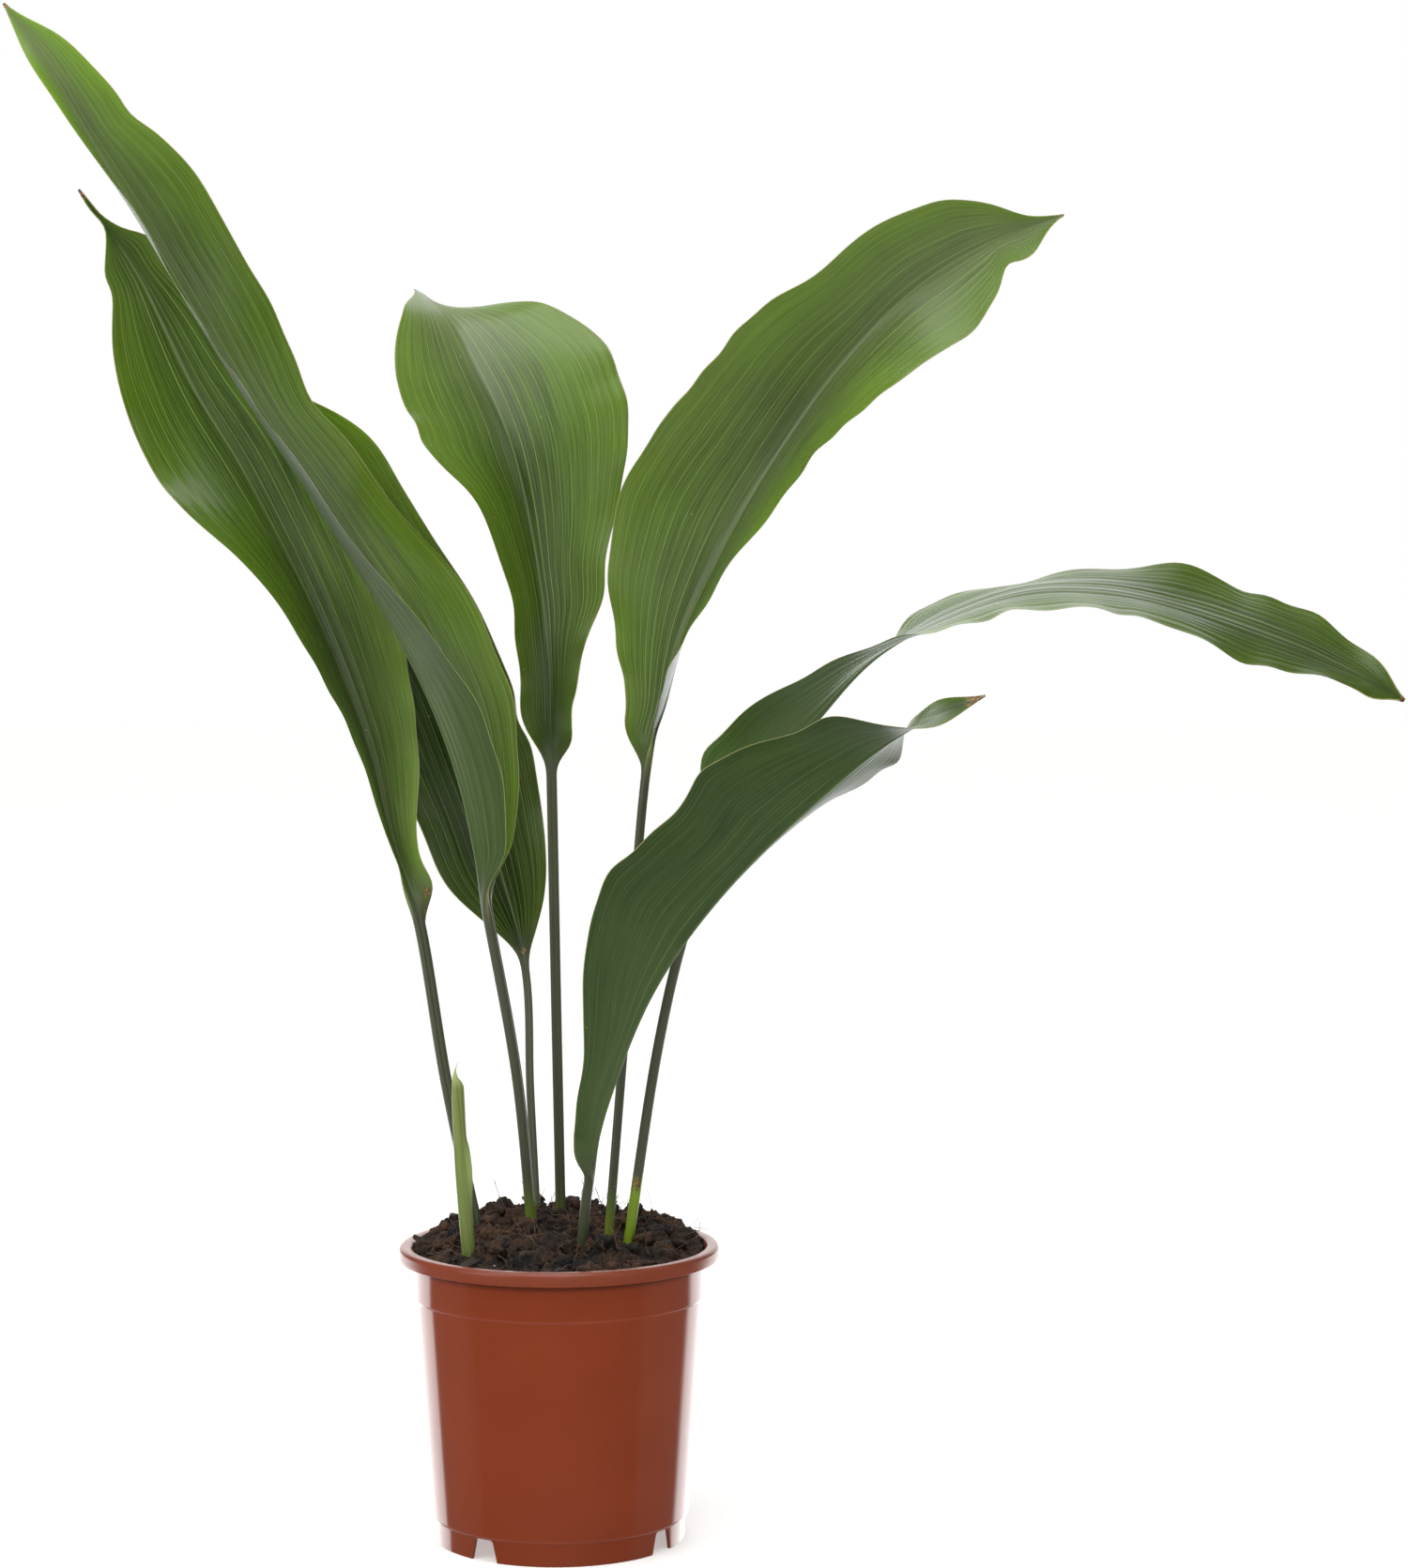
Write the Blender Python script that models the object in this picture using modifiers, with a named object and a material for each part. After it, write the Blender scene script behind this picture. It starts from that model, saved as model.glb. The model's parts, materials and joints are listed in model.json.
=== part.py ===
"""Cast iron plant (Aspidistra elatior) in a 17 cm plastic grower's pot.

Seven leaves, each with its own stalk, and one rolled shoot rise from a creeping
rhizome in peat soil. Metres, +Z up. The origin lies on the surface that the pot
stands on, under the middle of the plant's spread, so the pot stands to one side.
"""

from collections import namedtuple
from math import cos, pi, radians, sin, sqrt

import bmesh
import bpy
from mathutils import Vector, noise

MM = 0.001
POT_AXIS = (-0.0877, 0.0143, 0.0)
GAP = 0.3 * MM

# Pot, a turned plastic wall on a notched foot ring
POT_SIDES = 42
POT_HEIGHT = 156 * MM
LIP_RADIUS = 85 * MM
LIP_DROP = 7.2 * MM
LIP_ROUND = 2.2 * MM
LIP_THICKNESS = 1.9 * MM
COLLAR_RADIUS = 77.4 * MM
COLLAR_STEP_HEIGHT = 129 * MM
COLLAR_STEP = 0.8 * MM
WALL = 1.6 * MM
BASE_RADIUS = 66.1 * MM
FOOT_HEIGHT = 12.5 * MM
FOOT_RADIUS = 64.6 * MM
FOOT_WALL = 2.2 * MM
FOOT_TAPER = 0.3 * MM
EASE = 0.5 * MM
INNER_TOP_RADIUS = 75.6 * MM
FLOOR_TOP = FOOT_HEIGHT + WALL
INNER_FLOOR_RADIUS = 64.4 * MM
NOTCH_ANGLES = [radians(-124 + 90 * k) for k in range(4)]
NOTCH_HEIGHT = 13 * MM
NOTCH_REACH = 11.7 * MM
NOTCH_TOP = 10 * MM
NOTCH_BOTTOM = 15 * MM
NOTCH_DEPTH = 8 * MM
NOTCH_CORNER = 1.5 * MM
DRAIN_HOLES = 6
DRAIN_RADIUS = 4 * MM
DRAIN_CIRCLE = 46 * MM
DRAIN_START = radians(12)
DRAIN_SIDES = 12

# Soil, a plug that fills the pot and heaps up a little towards the back
SOIL_SIDES = 36
SOIL_RINGS = 8
SOIL_EDGE_HEIGHT = 151 * MM
SOIL_HEAP = 7 * MM
SOIL_BACK_RISE = 3 * MM
SOIL_LUMP = 3.2 * MM
SOIL_LUMP_SIZE = 15 * MM
SOIL_CRUMB = 1.6 * MM
SOIL_CRUMB_SIZE = 6.5 * MM

# Rhizome, the creeping stem that every stalk stands on
RHIZOME_RADIUS = 6 * MM
RHIZOME_HEIGHT = 112 * MM
RHIZOME_TOP = RHIZOME_HEIGHT + RHIZOME_RADIUS
RHIZOME_MAIN = [(-43, -46), (-20, -33), (8, -18), (30, -15), (24, 11), (-11, 27), (-43, 25)]
RHIZOME_BRANCH = [(7, 20), (6, 38), (0, 49), (-15, 49)]
BRANCH_RADIUS = 5.9 * MM

# Leaves: the blade's thickness, the rib under it and its half width as a share of the
# blade's, the stalk's height above and below its line as shares of its half width, the
# share of the blade over which the stalk flattens into it, and the samples across, from
# one margin to the other
BLADE = 0.8 * MM
RIB = 1.5 * MM
RIB_HALF_WIDTH = 0.3
STALK_RISE = 0.7
STALK_DROP = 0.9
STALK_BLEND = 0.08
ACROSS_STALK = [-1, -0.87, -0.5, 0, 0.5, 0.87, 1]
ACROSS_BLADE = [-1, -0.52, -0.1, 0, 0.1, 0.52, 1]
STALK_STATIONS = 6
BLADE_STATIONS = 30
TIP_HALF_WIDTH = 0.5 * MM

# Each leaf's rib runs through the points of `rib`, in mm from the pot's axis: the first is
# where the stalk leaves the soil, and the blade starts at the point numbered `blade`.
# The other rows hold values at even steps from the blade's base to its tip: `half` is half
# its width in mm, `turn` how many degrees it is turned about its rib from facing the
# front, and `fold` how many degrees its halves rise from flat. `wave` is the ripple of the
# margins: its height in mm, how many waves there are, and where the first one starts.
# WAVE_SKEW is how much of a wave one margin runs ahead of the rib.
WAVE_SKEW = 0.3
Leaf = namedtuple("Leaf", "name stalk blade rib half turn fold wave")
LEAVES = [
    Leaf("leaf_tall_left", 3.2, 2,
         [(-15, 24, 155), (-24, 16, 241), (-36, 5, 323), (-51, -6, 402), (-76, -14, 466),
          (-116, -24, 535), (-165, -36, 612), (-205, -48, 682), (-235, -59, 733), (-254, -66, 767),
          (-274, -70, 795)],
         half=[3, 27, 41, 46, 46, 43, 41, 40, 34, 21, 0.5],
         turn=[-80, -76, -73, -71, -46, -40], fold=[66, 56, 30, 29, 38, 32], wave=(1.5, 3, 0.2)),
    Leaf("leaf_broad_left", 2.6, 2,
         [(-46, 30, 158), (-59, 40, 238), (-76, 50, 321), (-93, 54, 373), (-106, 57, 420),
          (-133, 60, 488), (-170, 60, 562), (-199, 58, 611), (-226, 54, 668), (-245, 51, 697),
          (-258, 48, 716)],
         half=[3, 15, 28, 37, 42, 45, 46, 42, 31, 12, 0.5],
         turn=[-30, -32, -34, -37, -38, -32, -20, -11, -6, -5, -5],
         fold=[62, 57, 52, 47, 43, 32, 20, 11, 14, 20, 25], wave=(2.5, 4, 0.5)),
    Leaf("leaf_centre", 2.6, 2,
         [(-1, 47, 160), (-3, 38, 284), (-5, 36, 403), (-7, 39, 471), (-16, 44, 534),
          (-28, 52, 583), (-47, 66, 625), (-64, 84, 652), (-82, 106, 666)],
         half=[3, 13, 18, 27, 40, 56, 66, 65, 54, 28, 0.5],
         turn=[0, -8, -32, -28, -30, -64], fold=[40, 22, 32, 28, 18, 5], wave=(2, 3, 0.0)),
    Leaf("leaf_inner_left", 1.9, 2,
         [(-15, 58, 162), (-18, 72, 228), (-22, 84, 292), (-37, 90, 351), (-66, 94, 439),
          (-104, 94, 517), (-137, 90, 578), (-160, 85, 619)],
         half=[2, 18, 33, 40, 42, 42, 40, 36, 29, 17, 0.5],
         turn=[0, 0, 0, 0, 0, 0], fold=[45, 28, 22, 20, 20, 20], wave=(1.5, 3, 0.7)),
    Leaf("leaf_tall_right", 2.6, 2,
         [(27, 13, 155), (34, 18, 256), (43, 26, 399), (55, 29, 443), (67, 30, 487),
          (101, 28, 550), (142, 22, 612), (184, 14, 657), (225, 6, 683), (264, -4, 697)],
         half=[3, 19, 39, 57, 61, 60, 55, 49, 41, 24, 0.5],
         turn=[62, 50, 40, 24, 4, 0], fold=[47, 42, 40, 46, 29, 20], wave=(2, 5, 0.3)),
    Leaf("leaf_low_right", 3.0, 1,
         [(12, -23, 155), (16, -28, 192), (28, -36, 234), (53, -52, 294), (91, -74, 349),
          (142, -96, 401), (177, -108, 432), (215, -118, 450)],
         half=[3, 17, 23, 40, 50, 52, 51, 50, 42, 23, 0.5],
         turn=[95, 105, 127, 130, 120, 50], fold=[70, 55, 45, 40, 15, 0], wave=(1.5, 3, 0.1)),
    Leaf("leaf_arching_right", 3.0, 2,
         [(36, -14, 155), (52, -10, 255), (69, -4, 324), (89, 2, 365), (111, 8, 400),
          (136, 14, 433), (174, 23, 471), (236, 33, 499), (287, 37, 503), (337, 37, 493),
          (386, 33, 476), (423, 29, 459), (450, 25, 443)],
         half=[3, 18, 36, 41, 43, 45, 45, 43, 39, 27, 0.5],
         turn=[100, 114, 123, 101, 90, 81, 75, 70, 61, 54, 48],
         fold=[65, 54, 45, 19, -2, -2, -1, 0, 1, 2, 2], wave=(2, 4, 0.4)),
]

# Shoot, a leaf still rolled up, with a scale sheath round its foot
SHOOT_RIB = [(-45, -43, 155), (-49, -40, 205), (-51, -38, 244), (-50, -37, 256)]
SHOOT_RADIUS = 4.2 * MM
SHOOT_SIDES = 14
SHOOT_STATIONS = 16
SHOOT_TAPER = 0.2
SHOOT_POINT = 0.06
ROLL_STEP = 0.7 * MM
ROLL_START = 1.0
ROLL_TWIST = 1.5
SHEATH = 0.9 * MM
SHEATH_FOOT = 4 * MM
SHEATH_STATIONS = 8
SHEATH_LOW = 162 * MM
SHEATH_HIGH = 184 * MM

# Plain holes round the stalks, from the rhizome up through the soil
HOLE_SIDES = 10
HOLE_STATIONS = 4
HOLE_TOP = 175 * MM
HOLE_ROOM = 3 * GAP
HOLE_OVERRUN = 3 * MM


def clear_scene():
    for thing in list(bpy.data.objects):
        bpy.data.objects.remove(thing, do_unlink=True)


def new_collection(name):
    group = bpy.data.collections.new(name)
    bpy.context.scene.collection.children.link(group)
    return group


def finish(name, colour, roughness):
    """A plain material; `colour` is linear red, green and blue."""
    material = bpy.data.materials.new(name)
    material.use_nodes = True
    shader = material.node_tree.nodes["Principled BSDF"]
    shader.inputs["Base Color"].default_value = (*colour, 1)
    shader.inputs["Roughness"].default_value = roughness
    shader.inputs["Metallic"].default_value = 0
    return material


def add_object(name, mesh, group, frame, material=None):
    thing = bpy.data.objects.new(name, mesh)
    group.objects.link(thing)
    thing.parent = frame
    if material:
        mesh.materials.append(material)
    return thing


def add_cutter(name, mesh, group, frame):
    cutter = add_object(name, mesh, group, frame)
    cutter.hide_render = True
    cutter.display_type = "WIRE"
    return cutter


def combine(thing, other, operation):
    """A Boolean of `thing` with `other`, kept as a live modifier."""
    boolean = thing.modifiers.new(other.name, "BOOLEAN")
    boolean.operation = operation
    boolean.object = other
    boolean.solver = "EXACT"


def mesh_from(name, shape, smooth=True):
    mesh = bpy.data.meshes.new(name)
    shape.to_mesh(mesh)
    shape.free()
    if smooth:
        mesh.shade_smooth()
        mesh.set_sharp_from_angle(angle=radians(40))
    return mesh


def spline(values, t):
    """A smooth curve through evenly numbered values, floats or vectors, at place t."""
    last = len(values) - 1
    k = min(int(t), last - 1)
    f = t - k
    a = values[max(k - 1, 0)]
    b = values[k]
    c = values[k + 1]
    d = values[min(k + 2, last)]
    return b + (c - a) * (0.5 * f) + (a * 2 - b * 5 + c * 4 - d) * (0.5 * f * f) \
        + (b * 3 - a - c * 3 + d) * (0.5 * f ** 3)


def profile(values, s):
    """One of a leaf's rows of values, at the share s of its blade."""
    return spline(values, s * (len(values) - 1))


class Path:
    """A smooth line through points, measured along its length."""

    STEPS = 24

    def __init__(self, points):
        count = (len(points) - 1) * self.STEPS
        self.samples = [spline(points, k / self.STEPS) for k in range(count + 1)]
        self.lengths = [0.0]
        for a, b in zip(self.samples, self.samples[1:]):
            self.lengths.append(self.lengths[-1] + (b - a).length)

    def length_at(self, index):
        return self.lengths[index * self.STEPS]

    def at(self, length):
        k = 0
        while k < len(self.lengths) - 2 and self.lengths[k + 1] < length:
            k += 1
        share = (length - self.lengths[k]) / (self.lengths[k + 1] - self.lengths[k])
        return self.samples[k].lerp(self.samples[k + 1], share)

    def along(self, length):
        """The direction of the line at a length."""
        reach = 0.01
        first = max(length - reach, 0)
        second = min(length + reach, self.lengths[-1])
        return (self.at(second) - self.at(first)).normalized()


def rooted(rib):
    """Rib points in metres, carried straight on down to a foot on the rhizome."""
    points = [Vector(p) * MM for p in rib]
    slope = points[1] - points[0]
    foot = points[0] - slope * ((points[0].z - RHIZOME_TOP - GAP) / slope.z)
    return [foot] + points


def levelled(ring, heading):
    """A ring slid along its stem until it lies flat on the rhizome."""
    floor = RHIZOME_TOP + GAP
    return [p - heading * ((p.z - floor) / heading.z) for p in ring]


def loft(rings):
    """A closed skin over equal rings; both halves of each ring are split alike."""
    shape = bmesh.new()
    rows = [[shape.verts.new(p) for p in ring] for ring in rings]
    count = len(rows[0])
    for low, high in zip(rows, rows[1:]):
        for i in range(count):
            j = (i + 1) % count
            if i < count // 2:
                shape.faces.new((low[i], low[j], high[j]))
                shape.faces.new((low[i], high[j], high[i]))
            else:
                shape.faces.new((low[i], low[j], high[i]))
                shape.faces.new((low[j], high[j], high[i]))
    shape.faces.new(rows[0])
    shape.faces.new(rows[-1])
    bmesh.ops.recalc_face_normals(shape, faces=shape.faces)
    return shape


# --- Pot -------------------------------------------------------------------------------

def arc(centre, radius, first, last, steps):
    """Points on a round corner of a profile, from one angle to another in degrees."""
    angles = [radians(first + (last - first) * k / steps) for k in range(steps + 1)]
    return [(centre[0] + radius * cos(a), centre[1] + radius * sin(a)) for a in angles]


def pot_profile():
    """From the middle of the floor up the inside, over the lip and down to the foot."""
    lip_bottom = POT_HEIGHT - LIP_DROP
    skirt = LIP_RADIUS - WALL
    underside = POT_HEIGHT - LIP_THICKNESS
    foot_inside = FOOT_RADIUS - FOOT_WALL
    return [
        (0, FLOOR_TOP),
        (INNER_FLOOR_RADIUS - WALL, FLOOR_TOP),
        (INNER_FLOOR_RADIUS, FLOOR_TOP + WALL),
        (INNER_TOP_RADIUS, POT_HEIGHT - 2 * LIP_ROUND),
        *arc((INNER_TOP_RADIUS + LIP_ROUND, POT_HEIGHT - LIP_ROUND), LIP_ROUND, 180, 90, 3),
        *arc((LIP_RADIUS - LIP_ROUND, POT_HEIGHT - LIP_ROUND), LIP_ROUND, 90, 0, 4),
        (LIP_RADIUS, lip_bottom + EASE),
        (LIP_RADIUS - EASE, lip_bottom),
        (skirt, lip_bottom),
        (skirt - EASE, underside),
        (COLLAR_RADIUS, underside - EASE),
        (COLLAR_RADIUS - COLLAR_STEP, COLLAR_STEP_HEIGHT + EASE),
        (COLLAR_RADIUS - 2 * COLLAR_STEP, COLLAR_STEP_HEIGHT - EASE),
        (BASE_RADIUS, FOOT_HEIGHT + 2 * EASE),
        (BASE_RADIUS - EASE, FOOT_HEIGHT),
        (FOOT_RADIUS, FOOT_HEIGHT - EASE),
        (FOOT_RADIUS - FOOT_TAPER, EASE),
        (FOOT_RADIUS - FOOT_TAPER - EASE, 0),
        (foot_inside, 0),
        (foot_inside, FOOT_HEIGHT),
        (0, FOOT_HEIGHT),
    ]


def profile_mesh(name, points):
    """A line of edges through radius and height pairs, for a Screw to turn."""
    shape = bmesh.new()
    verts = [shape.verts.new((r, 0, z)) for r, z in points]
    for a, b in zip(verts, verts[1:]):
        shape.edges.new((a, b))
    return mesh_from(name, shape, smooth=False)


def turn_about_z(thing, sides):
    screw = thing.modifiers.new("turn", "SCREW")
    screw.steps = sides
    screw.render_steps = sides
    screw.use_merge_vertices = True
    screw.merge_threshold = 0.05 * MM


def notch_mesh():
    """A slot through the foot ring that widens downwards, with rounded upper corners."""
    shape = bmesh.new()
    bmesh.ops.create_cube(shape, size=1)
    bmesh.ops.scale(shape, vec=(NOTCH_DEPTH, NOTCH_BOTTOM, NOTCH_HEIGHT), verts=shape.verts)
    for vert in shape.verts:
        if vert.co.z > 0:
            vert.co.y *= NOTCH_TOP / NOTCH_BOTTOM
    upper = [e for e in shape.edges if all(v.co.z > 0 for v in e.verts)
             and abs(e.verts[0].co.x - e.verts[1].co.x) > NOTCH_DEPTH / 2]
    bmesh.ops.bevel(shape, geom=upper, offset=NOTCH_CORNER, segments=3, affect="EDGES",
                    profile=0.5)
    return mesh_from("notch", shape, smooth=False)


def add_pot(group, cutters, frame):
    plastic = finish("terracotta_plastic", (0.26, 0.044, 0.018), 0.3)
    pot = add_object("pot", profile_mesh("pot", pot_profile()), group, frame, plastic)
    turn_about_z(pot, POT_SIDES)
    notch = notch_mesh()
    middle = FOOT_RADIUS - FOOT_WALL / 2
    for number, angle in enumerate(NOTCH_ANGLES):
        cutter = add_cutter(f"notch_cutter_{number}", notch, cutters, frame)
        cutter.location = (middle * cos(angle), middle * sin(angle),
                           NOTCH_REACH - NOTCH_HEIGHT / 2)
        cutter.rotation_euler.z = angle
        combine(pot, cutter, "DIFFERENCE")
    shape = bmesh.new()
    bmesh.ops.create_cone(shape, cap_ends=True, segments=DRAIN_SIDES, radius1=DRAIN_RADIUS,
                          radius2=DRAIN_RADIUS, depth=WALL * 4)
    drain = mesh_from("drain", shape, smooth=False)
    for number in range(DRAIN_HOLES):
        angle = DRAIN_START + 2 * pi * number / DRAIN_HOLES
        cutter = add_cutter(f"drain_cutter_{number}", drain, cutters, frame)
        cutter.location = (DRAIN_CIRCLE * cos(angle), DRAIN_CIRCLE * sin(angle), FLOOR_TOP)
        combine(pot, cutter, "DIFFERENCE")
    return pot


# --- Soil and rhizome ------------------------------------------------------------------

def inner_radius(z):
    """The pot's inner radius at a height."""
    low = FLOOR_TOP + WALL
    high = POT_HEIGHT - 2 * LIP_ROUND
    return INNER_FLOOR_RADIUS + (INNER_TOP_RADIUS - INNER_FLOOR_RADIUS) * (z - low) / (high - low)


def soil_height(x, y):
    """The lumpy top of the soil at a place."""
    radius = inner_radius(SOIL_EDGE_HEIGHT)
    share = min(sqrt(x * x + y * y) / radius, 1)
    heap = SOIL_HEAP * (1 - share ** 2) + SOIL_BACK_RISE * y / radius * (1 - share ** 4)
    spot = Vector((x, y, 0))
    lumps = SOIL_LUMP * noise.noise(spot / SOIL_LUMP_SIZE)
    lumps += SOIL_CRUMB * noise.noise(spot / SOIL_CRUMB_SIZE)
    return SOIL_EDGE_HEIGHT + heap + lumps * (1 - 0.7 * share ** 6)


def add_soil(group, frame):
    bottom = FLOOR_TOP + GAP
    shape = bmesh.new()
    bmesh.ops.create_cone(
        shape, cap_ends=True, segments=SOIL_SIDES,
        radius1=inner_radius(bottom + WALL) - GAP - WALL,
        radius2=inner_radius(SOIL_EDGE_HEIGHT) - 2 * GAP,
        depth=SOIL_EDGE_HEIGHT - bottom)
    bmesh.ops.translate(shape, vec=(0, 0, (SOIL_EDGE_HEIGHT + bottom) / 2), verts=shape.verts)
    top = max(shape.faces, key=lambda f: f.calc_center_median().z)
    ring_width = inner_radius(SOIL_EDGE_HEIGHT) / (SOIL_RINGS + 0.5)
    for _ in range(SOIL_RINGS):
        bmesh.ops.inset_region(shape, faces=[top], thickness=ring_width, use_even_offset=True)
    bmesh.ops.poke(shape, faces=[top])
    for vert in shape.verts:
        if vert.co.z > SOIL_EDGE_HEIGHT - GAP:
            vert.co.z = soil_height(vert.co.x, vert.co.y)
    bmesh.ops.triangulate(shape, faces=shape.faces)
    peat = finish("peat_soil", (0.018, 0.010, 0.006), 0.95)
    return add_object("soil", mesh_from("soil", shape), group, frame, peat)


def creeping_stem(name, points, radius, group, overrun=0.0):
    """A round rod through plan points at the rhizome's height, as a closed mesh.

    It runs past both of its end points by `overrun`.
    """
    path = Path([Vector((x * MM, y * MM, RHIZOME_HEIGHT)) for x, y in points])
    stations = 3 * len(points)
    line = bpy.data.curves.new(name, "CURVE")
    line.dimensions = "3D"
    line.bevel_depth = radius
    line.bevel_resolution = 2
    line.use_fill_caps = True
    poly = line.splines.new("POLY")
    poly.points.add(stations - 1)
    for k, point in enumerate(poly.points):
        length = path.lengths[-1] * k / (stations - 1)
        past = {0: -overrun, stations - 1: overrun}.get(k, 0)
        point.co = (*(path.at(length) + path.along(length) * past), 1)
    guide = bpy.data.objects.new(name, line)
    group.objects.link(guide)
    evaluated = guide.evaluated_get(bpy.context.evaluated_depsgraph_get())
    mesh = bpy.data.meshes.new_from_object(evaluated)
    bpy.data.objects.remove(guide)
    shape = bmesh.new()
    shape.from_mesh(mesh)
    bmesh.ops.remove_doubles(shape, verts=shape.verts, dist=0.01 * MM)
    bmesh.ops.recalc_face_normals(shape, faces=shape.faces)
    shape.to_mesh(mesh)
    shape.free()
    return mesh


def add_rhizome(group, cutters, frame, soil):
    """The rhizome, its branch joined to it, and the room that it takes in the soil."""
    flesh = finish("rhizome_flesh", (0.45, 0.32, 0.17), 0.6)
    main = creeping_stem("rhizome", RHIZOME_MAIN, RHIZOME_RADIUS, group)
    rhizome = add_object("rhizome", main, group, frame, flesh)
    branch = creeping_stem("rhizome_branch", RHIZOME_BRANCH, BRANCH_RADIUS, cutters)
    combine(rhizome, add_cutter("rhizome_branch", branch, cutters, frame), "UNION")
    for name, points in (("main", RHIZOME_MAIN), ("branch", RHIZOME_BRANCH)):
        label = f"rhizome_room_{name}"
        room = creeping_stem(label, points, RHIZOME_RADIUS + 2 * GAP, cutters, overrun=2 * GAP)
        combine(soil, add_cutter(label, room, cutters, frame), "DIFFERENCE")
    return rhizome


# --- Leaves and shoot ------------------------------------------------------------------

def leaf_ring(leaf, spot, heading, s, blend):
    """The closed section of a leaf: its upper face from margin to margin, and back below.

    `s` is the share of the blade's length, and `blend` runs from 0, the round stalk, to 1,
    the thin blade.
    """
    turn = radians(profile(leaf.turn, s))
    fold = radians(profile(leaf.fold, s)) * blend
    level = Vector((0, 1, 0)).cross(heading).normalized()
    facing = level.cross(heading)
    side = level * cos(turn) + facing * sin(turn)
    up = facing * cos(turn) - level * sin(turn)
    stalk = leaf.stalk * MM
    width = stalk + (max(profile(leaf.half, s) * MM, TIP_HALF_WIDTH) - stalk) * blend
    height, waves, start = leaf.wave
    upper = []
    lower = []
    for a, b in zip(ACROSS_STALK, ACROSS_BLADE):
        v = a + (b - a) * blend
        out = side * (width * v * cos(fold))
        rise = width * abs(v) * sin(fold)
        phase = waves * s + start + WAVE_SKEW * b
        ripple = height * MM * sin(pi * s) * b * b * sin(2 * pi * phase)
        bulge = stalk * sqrt(1 - a * a) * (1 - blend)
        lift = STALK_RISE * bulge + 0.5 * BLADE * (1 - blend)
        face = spot + out + up * (rise + ripple + lift)
        lean = fold * (b > 0) - fold * (b < 0)
        below = side * sin(lean) - up * cos(lean)
        rib = max(1 - abs(b) / RIB_HALF_WIDTH, 0) * RIB * (1.2 - s) * blend
        upper.append(face)
        lower.append(face + below * (BLADE + rib + (STALK_RISE + STALK_DROP) * bulge))
    return upper + lower[::-1]


def add_leaf(leaf, group, frame, material):
    path = Path(rooted(leaf.rib))
    start = path.length_at(leaf.blade + 1)
    end = path.lengths[-1]
    stations = [(start * k / STALK_STATIONS, 0) for k in range(STALK_STATIONS)]
    stations += [(start + (end - start) * k / BLADE_STATIONS, k / BLADE_STATIONS)
                 for k in range(BLADE_STATIONS + 1)]
    rings = []
    for length, s in stations:
        blend = min(s / STALK_BLEND, 1)
        blend = blend * blend * (3 - 2 * blend)
        rings.append(leaf_ring(leaf, path.at(length), path.along(length), s, blend))
    rings[0] = levelled(rings[0], path.along(0))
    return add_object(leaf.name, mesh_from(leaf.name, loft(rings)), group, frame, material)


def round_ring(spot, heading, radius, sides, step=0.0, start=0.0):
    """A ring across a path; `step` makes it a rolled sheet's spiral, with an edge at `start`."""
    level = Vector((0, 1, 0)).cross(heading).normalized()
    facing = level.cross(heading)
    ring = []
    for k in range(sides):
        share = k / (sides - 1 if step else sides)
        angle = start + 2 * pi * share
        reach = radius + step * (share - 0.5)
        ring.append(spot + (level * cos(angle) + facing * sin(angle)) * reach)
    return ring


def stalk_hole(name, rib, radius, cutters, frame, soil):
    """Cut the plain hole that a stalk stands in."""
    path = Path(rooted(rib))
    top = next(length for length, p in zip(path.lengths, path.samples) if p.z > HOLE_TOP)
    rings = []
    for k in range(HOLE_STATIONS + 1):
        length = top * k / HOLE_STATIONS
        spot = path.at(length)
        if k == 0:
            spot = spot - Vector((0, 0, HOLE_OVERRUN))
        reach = (radius + HOLE_ROOM) / cos(pi / HOLE_SIDES)
        rings.append(round_ring(spot, path.along(length), reach, HOLE_SIDES))
    hole = add_cutter(f"{name}_hole", mesh_from(name, loft(rings), smooth=False), cutters, frame)
    combine(soil, hole, "DIFFERENCE")


def add_shoot(group, cutters, frame):
    path = Path(rooted(SHOOT_RIB))
    end = path.lengths[-1]
    rings = []
    for k in range(SHOOT_STATIONS + 1):
        share = k / SHOOT_STATIONS
        length = end * share
        near_tip = max(share - 1 + SHOOT_TAPER, 0) / SHOOT_TAPER
        taper = max(1 - near_tip ** 1.5, SHOOT_POINT)
        ring = round_ring(path.at(length), path.along(length), SHOOT_RADIUS * taper, SHOOT_SIDES,
                          ROLL_STEP * taper, start=ROLL_START + ROLL_TWIST * share)
        rings.append(ring)
    rings[0] = levelled(rings[0], path.along(0))
    green = finish("young_shoot", (0.20, 0.34, 0.07), 0.45)
    shoot = add_object("shoot", mesh_from("shoot", loft(rings)), group, frame, green)
    sheath_rings = []
    for k in range(SHEATH_STATIONS + 1):
        length = SHEATH_FOOT + (path.length_at(2) - 2 * SHEATH_FOOT) * k / SHEATH_STATIONS
        ring = round_ring(path.at(length), path.along(length), SHOOT_RADIUS + SHEATH, SHOOT_SIDES)
        sheath_rings.append(ring)
    sheath = loft(sheath_rings)
    middle = Vector((SHOOT_RIB[0][0] * MM, SHOOT_RIB[0][1] * MM, (SHEATH_LOW + SHEATH_HIGH) / 2))
    slope = Vector((SHEATH_HIGH - SHEATH_LOW, 0, 2 * (SHOOT_RADIUS + SHEATH)))
    bmesh.ops.bisect_plane(sheath, geom=sheath.verts[:] + sheath.edges[:] + sheath.faces[:],
                           plane_co=middle, plane_no=slope, clear_outer=True)
    bmesh.ops.holes_fill(sheath, edges=[e for e in sheath.edges if e.is_boundary])
    bmesh.ops.recalc_face_normals(sheath, faces=sheath.faces)
    cutter = add_cutter("shoot_sheath", mesh_from("shoot_sheath", sheath), cutters, frame)
    combine(shoot, cutter, "UNION")
    return shoot


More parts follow.
